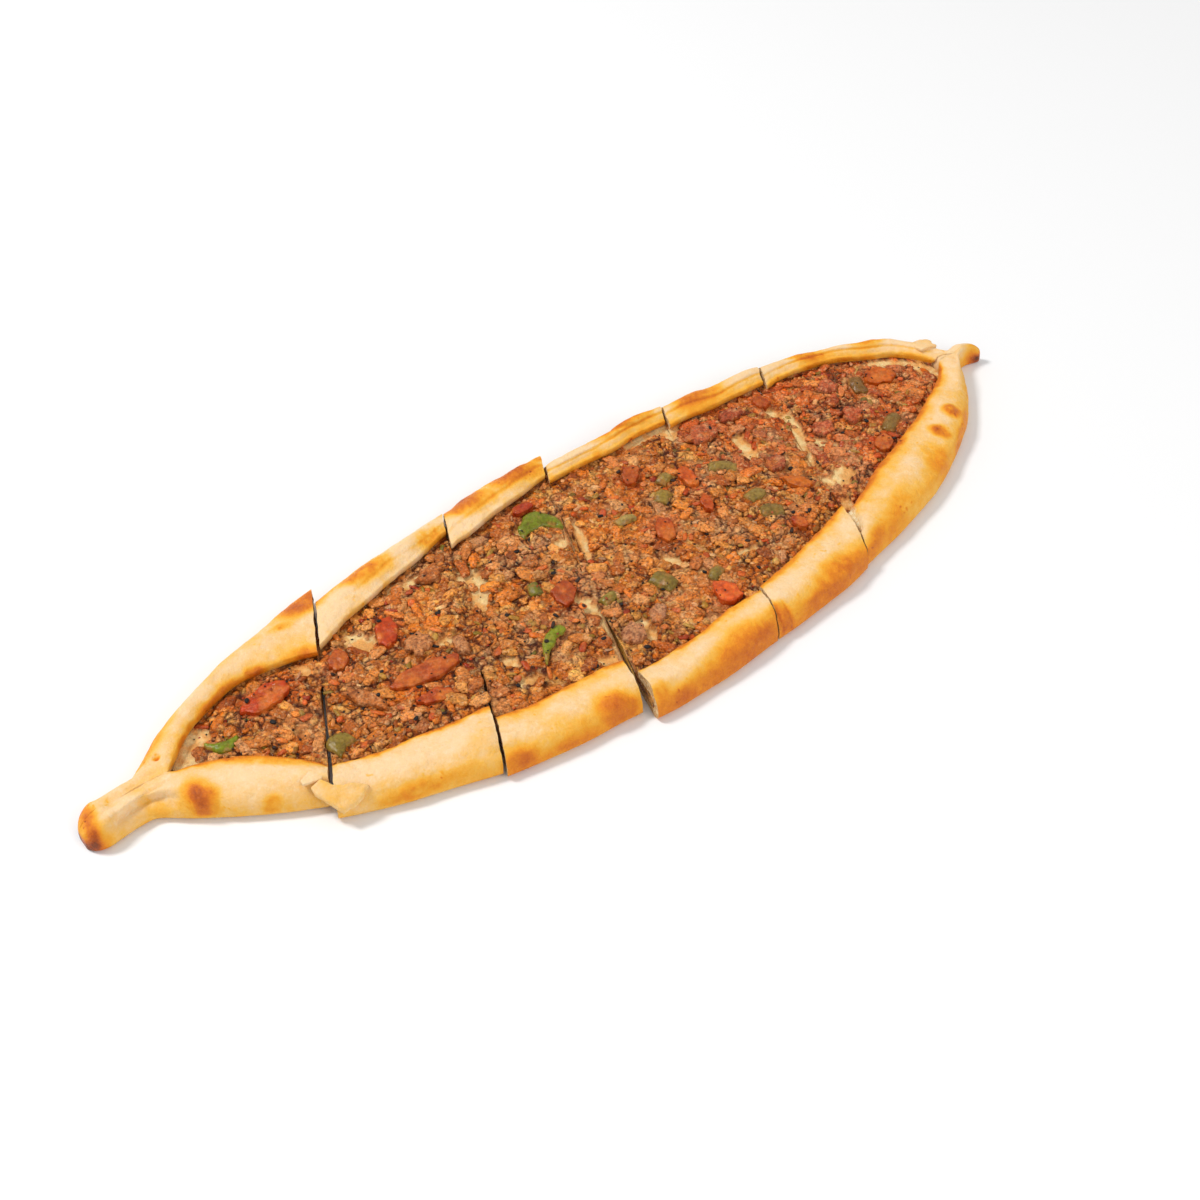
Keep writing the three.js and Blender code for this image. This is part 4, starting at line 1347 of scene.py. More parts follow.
class Heap:
    """The filling's level, its bare places, its clumps and its redness anywhere in the boat."""

    def __init__(self, plan: BoatPlan) -> None:
        """Keeps the plan and makes the noise of the filling.

        Args:
            plan: The plan of the boat.
        """
        self.plan = plan
        self.grain = Grain(37)
        self.large = Clumps(5, 8.6)
        self.middling = Clumps(8, 4.1)
        self.small = Clumps(9, 1.9)

    def from_lip(self, index: int, x: Array, y: Array) -> Array:
        """Returns how far a place in a slice is from the nearer lip; negative is under a flap."""
        lay = self.plan.slices[index]
        return np.minimum(y - self.plan.lip(lay, x, -1), self.plan.lip(lay, x, 1) - y)

    def bare(self, x: Array, y: Array) -> Array:
        """Returns 1 where the dough shows through the filling."""
        flat = on_plan(x, y)
        warp = self.grain.layered(flat, 4.2, 3)
        total = np.zeros(len(x))
        for patch in BARE:
            total = np.maximum(total, patch.strength(x, y, warp * 1.7 - 0.5))
        return smooth(0.22, 0.66, total + 0.3 * self.grain.layered(flat + 700, 1.9, 2))

    def redness(self, x: Array, y: Array) -> Array:
        """Returns 1 where the meat is redder, toward the right end."""
        drift = 9 * self.grain.layered(on_plan(x, y) + 77, 16, 2)
        right = smooth(112, 126, x + drift - 0.2 * y)
        return np.maximum(right, smooth(74, 88, x + drift) * smooth(2, 16, y + drift))

    def level(self, index: int, x: Array, y: Array) -> Array:
        """Returns the height of the filling without its relief, in millimetres."""
        away = self.from_lip(index, x, y)
        rise = np.clip(HEAP_AT_LIP + away * 0.32, HEAP_AT_LIP, HEAP_TOP)
        rough = wave(x * 1.6 + y * 0.7, 2) + wave(y * 1.9 - x * 0.4, 5)
        return rise + 0.55 * rough * smooth(0, 6, away)

    def warped(self, x: Array, y: Array) -> tuple[Array, Array]:
        """Returns places pushed about a little, so that the clumps come out irregular."""
        flat = on_plan(x, y)
        return (x + 2.2 * self.grain.layered(flat + 400, 5, 3),
                y + 2.2 * self.grain.layered(flat + 450, 5, 3))

    def smeared(self, flat: Array) -> Array:
        """Returns 1 where oily sauce closes over the meat and 0 where the meat is loose."""
        return smooth(-0.1, 0.5, self.grain.layered(flat + 640, 11, 3))

    def oil(self, flat: Array) -> Array:
        """Returns 1 where orange oil lies over the meat, in a column."""
        return self.grain.blots(flat + 240, 10, 3, -0.1, 0.6)

    def tan(self, flat: Array) -> Array:
        """Returns 1 where the meat is pale and greyish, in a column."""
        return self.grain.blots(flat + 340, 9, 2, -0.1, 0.5)

    def warmth(self, flat: Array) -> Array:
        """Returns what the meat's red, green and blue are multiplied by at each place."""
        pale = self.tan(flat) * (1 - 0.4 * self.oil(flat))
        return toward(np.array(RED_LIGHT), PALE_LIGHT, pale)

    def surface(self, index: int, x: Array, y: Array) -> tuple[Array, Array]:
        """Returns the height with its relief, and how bare each place is."""
        flat = on_plan(x, y)
        wx, wy = self.warped(x, y)
        middle, edge, one, two = self.large.read(wx, wy)
        big = (0.3 + 0.9 * one) * smooth(0, 0.22, edge) * (1 - 0.35 * middle) + 0.5 * (two - 0.5)
        middle, edge, one, _ = self.middling.read(wx, wy)
        medium = (0.2 + 1.2 * one) * smooth(0, 0.3, edge) * (1 - 0.4 * middle)
        middle, edge, one, _ = self.small.read(wx, wy)
        little = (0.1 + 0.6 * one) * smooth(0, 0.35, edge) * (1 - 0.4 * middle)
        fine = self.grain.layered(flat + 60, 1.2, 2)
        soft = self.grain.layered(flat + 20, 8, 2)
        bare = self.bare(x, y)
        away = smooth(-1, 5, self.from_lip(index, x, y))
        loose = 1 - 0.75 * self.smeared(flat)
        relief = 0.8 * big + loose * (0.75 * medium + 0.6 * little + 0.22 * fine) + 0.5 * soft - 0.8
        relief = relief * (1 - 0.9 * bare)
        return self.level(index, x, y) - 0.15 + relief * mix(0.3, 1, away) - 1.7 * bare * away, bare

    def colour(self, x: Array, y: Array, bare: Array) -> Array:
        """Returns the linear colour of the filling at each place, with painted shade between clumps."""
        flat = on_plan(x, y)
        grain = self.grain
        red = self.redness(x, y)[:, None]
        browns, reds = np.array(BROWN_MEAT), np.array(RED_MEAT)
        wx, wy = self.warped(x, y)
        picks, edges = [], []
        for clumps in (self.large, self.middling, self.small):
            _, edge, one, _ = clumps.read(wx, wy)
            edges.append(edge)
            pick = np.minimum((one * len(browns)).astype(int), len(browns) - 1)
            picks.append(mix(browns[pick], reds[pick], red))
        which = grain.blots(flat + 190, 6, 2, -0.2, 0.2)
        base = mix(mix(picks[0], picks[1], 0.25 + 0.65 * which), picks[2], 0.2)
        base = toward(base, OIL, self.oil(flat) * 0.5 * (1 - 0.3 * red))
        base = toward(base, TAN_MEAT, self.tan(flat) * 0.5)
        base = toward(base, FAT, grain.blots(flat + 280, 3.6, 3, 0.1, 0.6) * 0.7)
        # Painted shade: darker in the crevices between clumps, less where sauce closes over them; the fibre
        # streaks are the meat's own grain.
        crevice_shade = 1 - smooth(0, 0.24, np.minimum(edges[0] * 1.1, edges[1]))
        fibre = smooth(0.25, 0.8, grain.layered(flat * (1.4, 0.8, 1) + 260, 2.0, 3))
        dark = np.maximum(crevice_shade * (1.0 - 0.6 * self.smeared(flat)), fibre * 0.7)
        for tomato in toppings_of("tomato", TOMATOES):
            base = toward(base, TOMATO_JUICE, (tomato.nearness(x, y, 5.0) * 0.6)[:, None])
        base = toward(base, CREVICE_SHADE_AND_FIBRE, dark[:, None]) * self.warmth(flat)
        stain = grain.blots(flat + 500, 4, 3, -0.35, 0.4)
        dough = toward(np.array(BARE_DOUGH), STAINED_DOUGH, stain * 0.8)
        edge = (bare * (1 - bare) * 4)[:, None]
        dough = toward(dough, EDGE_OF_BARE, edge * 0.75)
        return mix(base, dough, smooth(0.1, 0.6, bare)[:, None] * 0.94)


# For each cut the stretches, in y, where loose filling covers it again.
MENDED = (
    ((14, 40),), ((-18, 60),), ((-24, 16), (36, 70)), ((-60, 70),), ((-26, 70),),
)


@dataclass
class Core:
    """The body of the filling in one slice, with its relief."""

    heap: Heap
    index: int
    spacing: float = 0.56
    closer: float = 1.2
    floor: float = 3.42
    corner_gap: float = 2.4
    wall_gap: float = 0.32

    def under_flap(self, at: Stations, side: int) -> Array:
        """Returns the filling's outline under one flap, from the floor up to the lip."""
        lip, reach = self.heap.plan.under_flap(at, side)
        direction = -side
        wall = lip - direction * (reach - self.wall_gap)
        rows = (
            (lip, self.floor), (wall + direction * np.minimum(2.2, reach * 0.2), self.floor), (wall, 4.62),
            (wall, 6.0), (wall + direction * np.minimum(2.6, reach * 0.3), 8.18),
            (lip - direction * (np.minimum(0.8, reach * 0.1) - 0.19), 6.58),
        )
        return profile(rows, [3, 2, 2, 3, 4], np.ones_like(lip))

    def mended(self, s: Array, y: Array, z: Array) -> Array:
        """Returns how far points move back along X where loose filling covers a cut again."""
        plan = self.heap.plan
        total = np.zeros(y.shape)
        flat = on_plan(s.ravel() * 0.2, y.ravel())
        ragged = self.heap.grain.layered(flat + 600, 4, 3).reshape(y.shape)
        place = y + 6 * ragged
        for number, cut, way in plan.cuts_of(self.index):
            near = 1 - smooth(0, 5, np.abs(s - cut.at))
            gap = plan.half_gap(cut, y)
            covered = np.zeros(y.shape)
            for low, high in MENDED[number]:
                part = smooth(low - 3, low + 3, place) * (1 - smooth(high - 3, high + 3, place))
                covered = np.maximum(covered, part)
            move = gap * 1.08 * covered + ragged * (0.75 + 0.2 * covered)
            total = total - way * near * np.minimum(move, gap * 1.1) * smooth(4.5, 6, z)
        return total

    def build(self) -> None:
        """Makes the filling's mesh with its colours stored on it."""
        plan = self.heap.plan
        start, end = plan.span(self.index)
        ends = (max(start, plan.left_corner + self.corner_gap), min(end, plan.right_corner - self.corner_gap))
        at = plan.spaced(self.index, ends, self.spacing, self.closer)
        columns = int(np.max(at.lip_back - at.lip_front) / self.spacing) + 2
        lower, upper = self.under_flap(at, 1), self.under_flap(at, -1)[:, ::-1]
        grid = np.concatenate([lower, at.between_lips(0 * at.s, columns), upper], axis=1)
        y, z = grid[..., 0], grid[..., 1]
        s = np.broadcast_to(at.s[:, None], y.shape)
        x = plan.station_x(s, y)
        is_top = np.zeros(y.shape, dtype=bool)
        is_top[:, lower.shape[1]:lower.shape[1] + columns] = True
        height, bare = self.heap.surface(self.index, x.ravel(), y.ravel())
        bare = bare * is_top.ravel()
        z = np.where(is_top, height.reshape(y.shape), z)
        x = x + plan.gap_shift(self.index, s, y) + self.mended(s, y, z)
        points = np.stack([x, y, z], axis=-1).reshape(-1, 3)
        stored = {"tint": self.heap.colour(points[:, 0], points[:, 1], bare), "bare": bare}
        piece = dressed(f"heap_{self.index + 1}", points, ring_faces(*y.shape), stored,
                        FINISHES["heap"])
        around = y.shape[1]
        for row in (0, len(at.s) - 1):
            close_ring(piece, list(range(row * around, (row + 1) * around)), 0)
        tidy_mesh(piece)
        finish_mesh(piece, [f"filling_{self.index + 1}"])


@dataclass(frozen=True)
class FillingFinish:
    """Oily chopped meat, with the dough showing through in places."""

    def material(self) -> Material:
        """Makes the material of the filling."""
        paper = Paper("chopped filling")
        tint = paper.stored("tint", "Color")
        speck = paper.spread(paper.noise(950, 3, 0.6), 0.38, 0.58, (0.74, 1.12))
        shade = paper.spread(paper.noise(400, 5, 0.62), 0.36, 0.6, (0.6, 1.22))
        tone = paper.maths("MULTIPLY", speck, shade)
        bare = paper.stored("bare")
        tone = paper.blend(paper.maths("MULTIPLY", bare, 0.75), paper.grey(tone), paper.grey(1.0))
        colour = paper.blend(1.0, tint, tone, "MULTIPLY")
        specks = paper.speckled(colour, 800, srgb(84, 26, 4), srgb(252, 204, 142), (0.62, 0.5))
        colour = paper.blend(paper.maths("MULTIPLY", bare, 0.8), specks, colour)
        swells = paper.maths("MULTIPLY", paper.noise(480, 4), 1.6)
        paper.bump(paper.maths("ADD", paper.noise(1300, 5, 0.7), swells), 0.0011, 0.8)
        wet = paper.spread(paper.noise(300, 3), 0.4, 0.58, (0.08, 0.5))
        paper.set(Base_Color=colour, Roughness=wet, Subsurface_Weight=0.1, Subsurface_Scale=0.002,
                  Subsurface_Radius=(1.0, 0.4, 0.2), Specular_IOR_Level=0.22)
        return paper.material


@dataclass(frozen=True)
class WetFinish:
    """A soft, wet piece of food whose colour is stored on the mesh."""

    name: str
    roughness: Pair
    see_into: float
    depth: float
    relief: float
    relief_scale: float
    relief_shading: Pair
    shine: float
    specks: Pair = (0.0, 0.0)

    def material(self) -> Material:
        """Makes the material of the piece."""
        paper = Paper(self.name)
        # Painted shade and highlight: the colour follows the same noise as the bump, darker in its hollows
        # and lighter on its tops.
        mottle = paper.spread(paper.noise(self.relief_scale, 4, 0.6), 0.35, 0.65, self.relief_shading)
        colour = paper.blend(1.0, paper.stored("tint", "Color"), paper.grey(mottle), "MULTIPLY")
        if any(self.specks):
            colour = paper.speckled(colour, 820, srgb(90, 30, 6), srgb(252, 204, 146), self.specks)
        paper.bump(paper.noise(self.relief_scale, 5, 0.65), self.relief, 0.8)
        wet = paper.spread(paper.noise(self.relief_scale * 0.4, 3), 0.35, 0.65, self.roughness)
        paper.set(Base_Color=colour, Roughness=wet, Subsurface_Weight=self.see_into,
                  Subsurface_Scale=self.depth, Subsurface_Radius=(1.0, 0.35, 0.15),
                  Specular_IOR_Level=self.shine)
        return paper.material


# ---- large toppings

# Each row is x, y, length, width and turn in degrees.
PEPPERS = (
    (-183, 11.5, 14, 6, -20), (-145.5, -16.5, 11, 9, 20), (-6.8, 38.5, 21, 12, -12),
    (-46.5, -24.5, 24, 7.6, 38), (-32.5, 6.5, 8, 6, 80), (-10.5, -17.5, 9, 5, 15), (26.5, 17.5, 10, 5, -10),
    (15.5, -23.5, 12, 9, -70), (36.5, -34, 9, 6, 20), (50, 19.5, 9, 8, 30), (58, 28.5, 8, 6, 20),
    (85.5, 18.5, 14, 8, -40), (84.5, -5.5, 10, 7, 10), (83.5, -18.5, 11, 8, -30), (171.5, -6, 14, 7, 28),
    (178.5, 24.5, 12, 8, 70),
)
TOMATOES = (
    (-156, 23, 26, 13, 5), (-97.5, 24, 19, 10, 60), (-96.5, -5.5, 32, 11, -5), (-101.5, -19.5, 17, 8, -15),
    (-122.8, 21.5, 12, 9, 50), (-6.5, 51.5, 12, 6, 0), (-24.5, -4, 16, 12, 60), (32.5, -46, 15, 12, 80),
    (36.5, 1, 17, 10, 60), (67.5, 22, 16, 8, 80), (63, 3.5, 12, 6, 75), (87.5, -33, 9, 6, 90),
    (105.5, -11.5, 16, 8, -60), (131, 43, 10, 8, 80), (191.5, 22.5, 18, 13, -10), (157.5, -15.6, 14, 9, 31),
    (47.5, 39.5, 14, 8, 35),
)
MEATS = (
    (-90.5, 10, 14, 13, 30), (-77, -1.5, 13, 8, 72), (-125, -3, 26, 7, -62), (-64, 42, 15, 10, 15),
    (-15.2, -41.5, 14, 12, 40), (0.5, -38.5, 14, 8, 40), (92.5, 42, 17, 13, 10), (113.5, 44.5, 15, 9, -5),
    (107, 5, 12, 10, 20), (142.5, 9.5, 14, 11, 20), (160, 9, 12, 11, -30), (165.5, 32.5, 13, 11, 10),
)
PEPPER_COLOURS = colours(
    (120, 134, 20), (137, 114, 41), (116, 124, 22), (132, 140, 28), (117, 112, 33), (149, 129, 52),
    (167, 139, 71), (128, 106, 38), (139, 115, 47), (152, 124, 47), (159, 129, 57), (147, 119, 52),
    (147, 120, 52), (133, 105, 43), (135, 102, 45), (129, 90, 38),
)
# How much each strip of pepper bends, and how much it narrows to one end.
PEPPER_BENDS = ((-0.26, 0.1), (0.1, 0.0), (0.32, 0.12), (0.16, 0.85)) + ((0.05, 0.0),) * 12
TOMATO_COLOURS = colours(
    (192, 64, 10), (190, 65, 9), (181, 82, 27), (183, 76, 20), (180, 83, 21), (166, 53, 17), (168, 71, 22),
    (218, 90, 28), (186, 80, 15), (204, 89, 21), (187, 78, 15), (172, 66, 16), (197, 102, 21),
    (176, 80, 20), (198, 92, 14), (188, 92, 30), (173, 77, 21),
)
MEAT_COLOURS = colours(
    (213, 135, 76), (197, 124, 70), (197, 113, 50), (201, 112, 47), (210, 141, 93), (198, 134, 91),
    (202, 98, 52), (185, 80, 40), (183, 88, 48), (209, 98, 56), (202, 91, 47), (209, 102, 58),
)


class EvenRandom:
    """The same repeatable random numbers that shaped the solids' lumps."""

    def __init__(self, seed: int) -> None:
        """Starts the numbers at a seed."""
        self.state = seed & WORD

    def next(self) -> float:
        """Returns the next number, from 0 up to 1."""
        self.state = (self.state + 0x6D2B79F5) & WORD
        t = self.state
        t = ((t ^ (t >> 15)) * (t | 1)) & WORD
        t ^= (t + ((t ^ (t >> 7)) * (t | 61))) & 0xFFFFFFFF
        t &= WORD
        return (t ^ (t >> 14)) / (WORD + 1)


@dataclass(frozen=True)
class Topping:
    """A large piece on the filling: its solid, its place, size and turn."""

    name: str
    x: float
    y: float
    length: float
    width: float
    turn: float
    bottom: float = 6.3
    top: float = 10.4

    def placed(self, u: Array, v: Array, z: Array) -> Array:
        """Returns points of the topping turned and moved to its place."""
        angle = math.radians(self.turn)
        x = self.x + u * math.cos(angle) - v * math.sin(angle)
        y = self.y + u * math.sin(angle) + v * math.cos(angle)
        return np.stack([x, y, z], axis=-1)

    def nearness(self, x: Array, y: Array, reach: float) -> Array:
        """Returns 1 on the topping, falling to 0 a reach away from it."""
        u, v = turned(x - self.x, y - self.y, self.turn)
        u, v = np.maximum(np.abs(u) - self.length / 2, 0), np.maximum(np.abs(v) - self.width / 2, 0)
        return 1 - smooth(0, reach, np.hypot(u, v))

    def covers(self, x: Array, y: Array, room: float) -> Array:
        """Returns whether places lie on the topping, or within some room of it."""
        u, v = turned(x - self.x, y - self.y, self.turn)
        u, v = u / (self.length / 2 + room), v / (self.width / 2 + room)
        return u * u + v * v < 1


def toppings_of(kind: str, rows: tuple[tuple[float, ...], ...]) -> list[Topping]:
    """Returns the toppings of one kind.

    Args:
        kind: The start of their solids' names.
        rows: The x, y, length, width and turn of each.

    Returns:
        The toppings, numbered from 1.
    """
    return [Topping(f"{kind}_{i + 1}", *row) for i, row in enumerate(rows)]


@dataclass(frozen=True)
class LumpKind:
    """What all the chunks of meat have alike, or all the cuts of tomato.

    The profile gives shares of the radius and of the height, from the bottom to the top.
    """

    slot: str
    sides: int
    first_seed: int
    blur: int
    rough: float
    dark: Colour
    light: Colour
    profile: tuple[Pair, ...]


MEAT_LUMP = LumpKind(
    Slot.MEAT.value, sides=6, first_seed=200, blur=5, rough=0.95, dark=srgb(98, 42, 14),
    light=srgb(226, 166, 112), profile=((0.02, 0), (0.62, 0), (0.9, 0.12), (1, 0.4), (0.99, 0.66),
                                        (0.88, 0.88), (0.45, 0.97), (0.02, 0.94)))
TOMATO_LUMP = LumpKind(
    Slot.TOMATO.value, sides=7, first_seed=100, blur=3, rough=0.6, dark=srgb(140, 34, 8),
    light=srgb(222, 122, 44), profile=((0.02, 0), (0.8, 0), (0.97, 0.08), (1, 0.4), (0.99, 0.7),
                                       (0.94, 0.86), (0.55, 0.9), (0.02, 0.86)))
SAUCE, PEPPER_FLESH, PEPPER_STAIN = colours((206, 112, 38), (206, 196, 96), (180, 116, 52))


@dataclass
class Lump:
    """A chunk of meat or a cut of tomato: an uneven outline with a rounded top."""

    topping: Topping
    kind: LumpKind
    number: int
    colour: Colour
    grain: Grain
    around: int = 96

    def outline(self, seed: int) -> Array:
        """Returns the radius of the solid's outline, as a share, at even angles."""
        random = EvenRandom(seed)
        sides, blur = self.kind.sides, self.kind.blur
        radii = np.array([0.84 + 0.26 * random.next() for _ in range(sides)])
        corner = 2 * np.pi * (np.arange(sides) + 0.5) / sides
        px, py = radii * np.cos(corner), radii * np.sin(corner)
        angle = 2 * np.pi * np.arange(self.around) / self.around
        first = np.floor(angle / (2 * np.pi / sides) - 0.5).astype(int) % sides
        ax, ay, bx, by = px[first], py[first], px[(first + 1) % sides], py[(first + 1) % sides]
        radius = (ax * by - ay * bx) / (np.cos(angle) * (by - ay) - np.sin(angle) * (bx - ax))
        rest = blur // 2
        closed = np.concatenate([radius[-rest:], radius, radius[:rest]])
        return np.convolve(closed, np.ones(blur) / blur, "valid")

    def build(self, material: Material) -> None:
        """Makes the lump's mesh with its colours stored on it."""
        spec, kind, grain = self.topping, self.kind, self.grain
        seed = kind.first_seed + self.number
        control = np.array([(r, mix(spec.bottom, spec.top, h)) for r, h in kind.profile])[None]
        line = curve_through(control, [4] * (len(kind.profile) - 1))[0]
        line = np.concatenate([line, control[0, -1:]])
        angle = 2 * np.pi * np.arange(self.around) / self.around
        ring = np.stack([np.cos(angle), np.sin(angle), 0 * angle], axis=-1)
        ragged = 1 + kind.rough * 0.2 * grain.layered(ring * 2.6 + seed * 3.7, 1, 3)
        reach = line[:, :1] * self.outline(seed) * ragged
        u = reach * np.cos(angle) * spec.length / 2
        v = reach * np.sin(angle) * spec.width / 2
        flat = spec.placed(u, v, np.broadcast_to(line[:, 1:], u.shape)).reshape(-1, 3)
        relief = kind.rough * grain.layered(flat, 4, 2)
        relief = relief + kind.rough * 0.6 * grain.layered(flat + 60, 1.7, 3)
        away = flat - np.array([spec.x, spec.y, mix(spec.bottom, spec.top, 0.2)])
        away /= np.maximum(np.linalg.norm(away, axis=1, keepdims=True), 1e-6)
        flat = flat + away * (relief * 0.8)[:, None]
        slope = (EvenRandom(seed + 50).next() - 0.5) * 0.09
        flat[:, 2] += slope * (flat[:, 0] - spec.x) * smooth(7.5, 9.5, flat[:, 2])
        tone = grain.layered(flat + 150, 3.3, 3)
        fine = grain.layered(flat + 250, 1.2, 2)
        rim = (smooth(0.8, 1, line[:, :1]) + 0 * u).ravel()
        colour = toward(np.array(self.colour), kind.light, smooth(0.05, 0.75, tone)[:, None] * 0.6)
        shade = np.maximum(smooth(0, 0.7, -tone + 0.4 * fine) * 0.55, rim * 0.3)
        colour = toward(colour, kind.dark, shade[:, None])
        colour = toward(colour, SAUCE, grain.blots(flat + 350, 6, 3, 0.05, 0.6) * 0.7)
        piece = dressed(f"{spec.name}_look", flat, ring_faces(*u.shape), {"tint": colour}, material)
        tidy_mesh(piece, fill=True)
        finish_mesh(piece, [spec.name])


@dataclass
class PepperStrip:
    """A strip of green pepper: a bent bar, arched across, with a dark skin and paler flesh."""

    topping: Topping
    colour: Colour
    grain: Grain
    bend: float
    taper: float
    along: int = 44
    around: int = 28

    def build(self, material: Material) -> None:
        """Makes the strip's mesh with its colours stored on it."""
        spec, grain = self.topping, self.grain
        t = np.sin(np.linspace(-np.pi / 2, np.pi / 2, self.along))[:, None]
        angle = 2 * np.pi * np.arange(self.around)[None, :] / self.around
        square = np.clip((1 - np.abs(t)) * 9, 0, 1) ** 0.4
        half = spec.width / 2 * (0.96 - (0.06 + abs(self.bend)) * t * t) * square
        half = half * (1 - self.taper * (0.5 - 0.5 * t) ** 1.3)
        across = np.sign(np.cos(angle)) * np.abs(np.cos(angle)) ** 0.45
        thick = 0.95 * np.clip((1 - np.abs(t)) * 8, 0.1, 1) ** 0.5
        v = half * across
        arch = 1.6 * (v / (spec.width / 2)) ** 2
        lift = np.sign(np.sin(angle)) * np.abs(np.sin(angle)) ** 0.5
        z = spec.top - 1.0 - 1.1 * t * t - arch + thick * lift
        u = t * spec.length / 2 + 0 * angle
        bend = spec.width * self.bend * (1 - 2 * t * t)
        points = spec.placed(u, v + bend, z).reshape(-1, 3)
        points[:, 2] += 0.45 * grain.layered(points + 9, 4, 3)
        points[:, 0] += 0.6 * grain.layered(points + 19, 3.4, 2)
        points[:, 1] += 0.6 * grain.layered(points + 29, 3.4, 2)
        skin = (lift + 0 * t).ravel()
        side = (across + 0 * t).ravel() * (1.0 if self.bend >= 0 else -1.0)
        own = np.array(self.colour)
        flesh = smooth(0.35, 0.9, -side) * smooth(0.8, -0.2, skin)
        colour = mix(own, toward(own, PEPPER_FLESH, 0.5), (flesh * 0.9)[:, None])
        colour = mix(colour, own * 0.45, grain.blots(points + 40, 3.0, 3, 0, 0.7) * 0.5)
        colour = toward(colour, PEPPER_STAIN, grain.blots(points + 80, 3.4, 3, 0.15, 0.6) * 0.6)
        piece = dressed(f"{spec.name}_look", points, ring_faces(self.along, self.around),
                        {"tint": colour}, material)
        tidy_mesh(piece, fill=True)
        finish_mesh(piece, [spec.name])


def add_toppings() -> list[Topping]:
    """Makes every large topping and returns them all."""
    grain = Grain(53)
    peppers, tomatoes = toppings_of("pepper", PEPPERS), toppings_of("tomato", TOMATOES)
    meats = toppings_of("meat", MEATS)
    green = WetFinish("pepper skin", roughness=(0.1, 0.35), see_into=0.1, depth=0.002, relief=0.0004,
                      relief_scale=600, relief_shading=(0.7, 1.12), shine=0.3, specks=(0.3, 0.08)).material()
    red = WetFinish("tomato flesh", roughness=(0.08, 0.34), see_into=0.2, depth=0.003, relief=0.0008,
                    relief_scale=420, relief_shading=(0.74, 1.14), shine=0.28, specks=(0.12, 0.08)).material()
    brown = WetFinish("cooked meat", roughness=(0.2, 0.5), see_into=0.1, depth=0.002, relief=0.0010,
                      relief_scale=900, relief_shading=(0.62, 1.14), shine=0.24, specks=(0.55, 0.36)).material()
    for spec, colour, (bend, taper) in zip(peppers, PEPPER_COLOURS, PEPPER_BENDS):
        PepperStrip(spec, colour, grain, bend, taper).build(green)
    for lumps, colour_row, kind, finish in (
        (tomatoes, TOMATO_COLOURS, TOMATO_LUMP, red), (meats, MEAT_COLOURS, MEAT_LUMP, brown),
    ):
        for i, (spec, colour) in enumerate(zip(lumps, colour_row)):
            Lump(spec, kind, i, colour, grain).build(finish)
    return peppers + tomatoes + meats


# ---- scattered pieces

BROWNS = BROWN_MEAT + colours((222, 160, 116), (216, 152, 108), (228, 134, 56))
REDS = RED_MEAT + colours((222, 140, 100))
TOMATO = colours((214, 84, 22), (196, 62, 16), (228, 112, 26), (180, 54, 18))
GREEN = colours((136, 120, 30), (118, 114, 24), (154, 134, 50), (110, 94, 24))
PALE = colours((232, 176, 120), (222, 156, 100), (236, 188, 138))
BLACK = colours((34, 24, 20), (56, 36, 26), (26, 20, 18))
CHILLI = colours((178, 40, 18), (156, 32, 16), (204, 72, 28))
SMEAR = srgb(220, 128, 56)
TRIES_EACH = 14
FRONT_LIMIT, BACK_LIMIT = -62, 66


@dataclass(frozen=True)
class Crumb:
    """One kind of small chopped piece, strewn over the filling."""

    name: str
    slot: Slot
    colours: tuple[Colour, ...]
    count: int
    length: Pair
    width: Pair
    height: Pair
    seed: int
    detail: int
    rough: float
    sink: float
    tilt: float
    red_colours: tuple[Colour, ...] = ()
    on_bare: float = 0.06
    on_toppings: float = 0
    crowding: float = 0.5
    boxy: float = 2.6
    smeared: float = 0.4


MEAT_CRUMBS = (
    Crumb("chopped_meat", Slot.MEAT, BROWNS, 340, (4.6, 10), (3.2, 6), (1.4, 2.4), seed=1, detail=3,
          rough=0.44, sink=0.52, tilt=0.16, red_colours=REDS, crowding=0.42, boxy=3),
    Crumb("minced_meat", Slot.MEAT, BROWNS, 900, (1.6, 4), (1.2, 2.6), (0.8, 1.5), seed=2, detail=2,
          rough=0.38, sink=0.45, tilt=0.3, red_colours=REDS),
)
JUICY_CRUMBS = (
    Crumb("tomato_bits", Slot.TOMATO, TOMATO, 170, (2.4, 7), (1.4, 3.4), (0.7, 1.3), seed=3, detail=2,
          rough=0.26, sink=0.5, tilt=0.16, boxy=3.2),
    Crumb("pepper_bits", Slot.PEPPER, GREEN, 120, (1.8, 6), (1.2, 3), (0.7, 1.3), seed=4, detail=2,
          rough=0.24, sink=0.5, tilt=0.2, boxy=3.2),
    Crumb("onion_bits", Slot.FILLING, PALE, 190, (1.4, 5), (1, 2.4), (0.5, 1), seed=5, detail=2,
          rough=0.36, sink=0.55, tilt=0.16, on_bare=0.3, smeared=0.6),
)
DRY_CRUMBS = (
    Crumb("pepper_flecks", Slot.FILLING, BLACK, 520, (0.5, 1.7), (0.4, 1.2), (0.3, 0.6), seed=6, detail=1,
          rough=0.3, sink=0.15, tilt=0.3, on_bare=0.6, on_toppings=0.6, crowding=0.9, smeared=0),
    Crumb("dark_seeds", Slot.FILLING, BLACK, 70, (1.8, 3.2), (1.2, 2), (0.7, 1.2), seed=8, detail=2,
          rough=0.3, sink=0.2, tilt=0.2, on_bare=0.5, on_toppings=0.15, crowding=2.5, smeared=0),
    Crumb("chilli_flakes", Slot.FILLING, CHILLI, 200, (0.6, 2.1), (0.5, 1.4), (0.25, 0.5), seed=7, detail=1,
          rough=0.25, sink=0.2, tilt=0.3, on_bare=0.5, on_toppings=0.4, crowding=0.9, smeared=0.2),
)


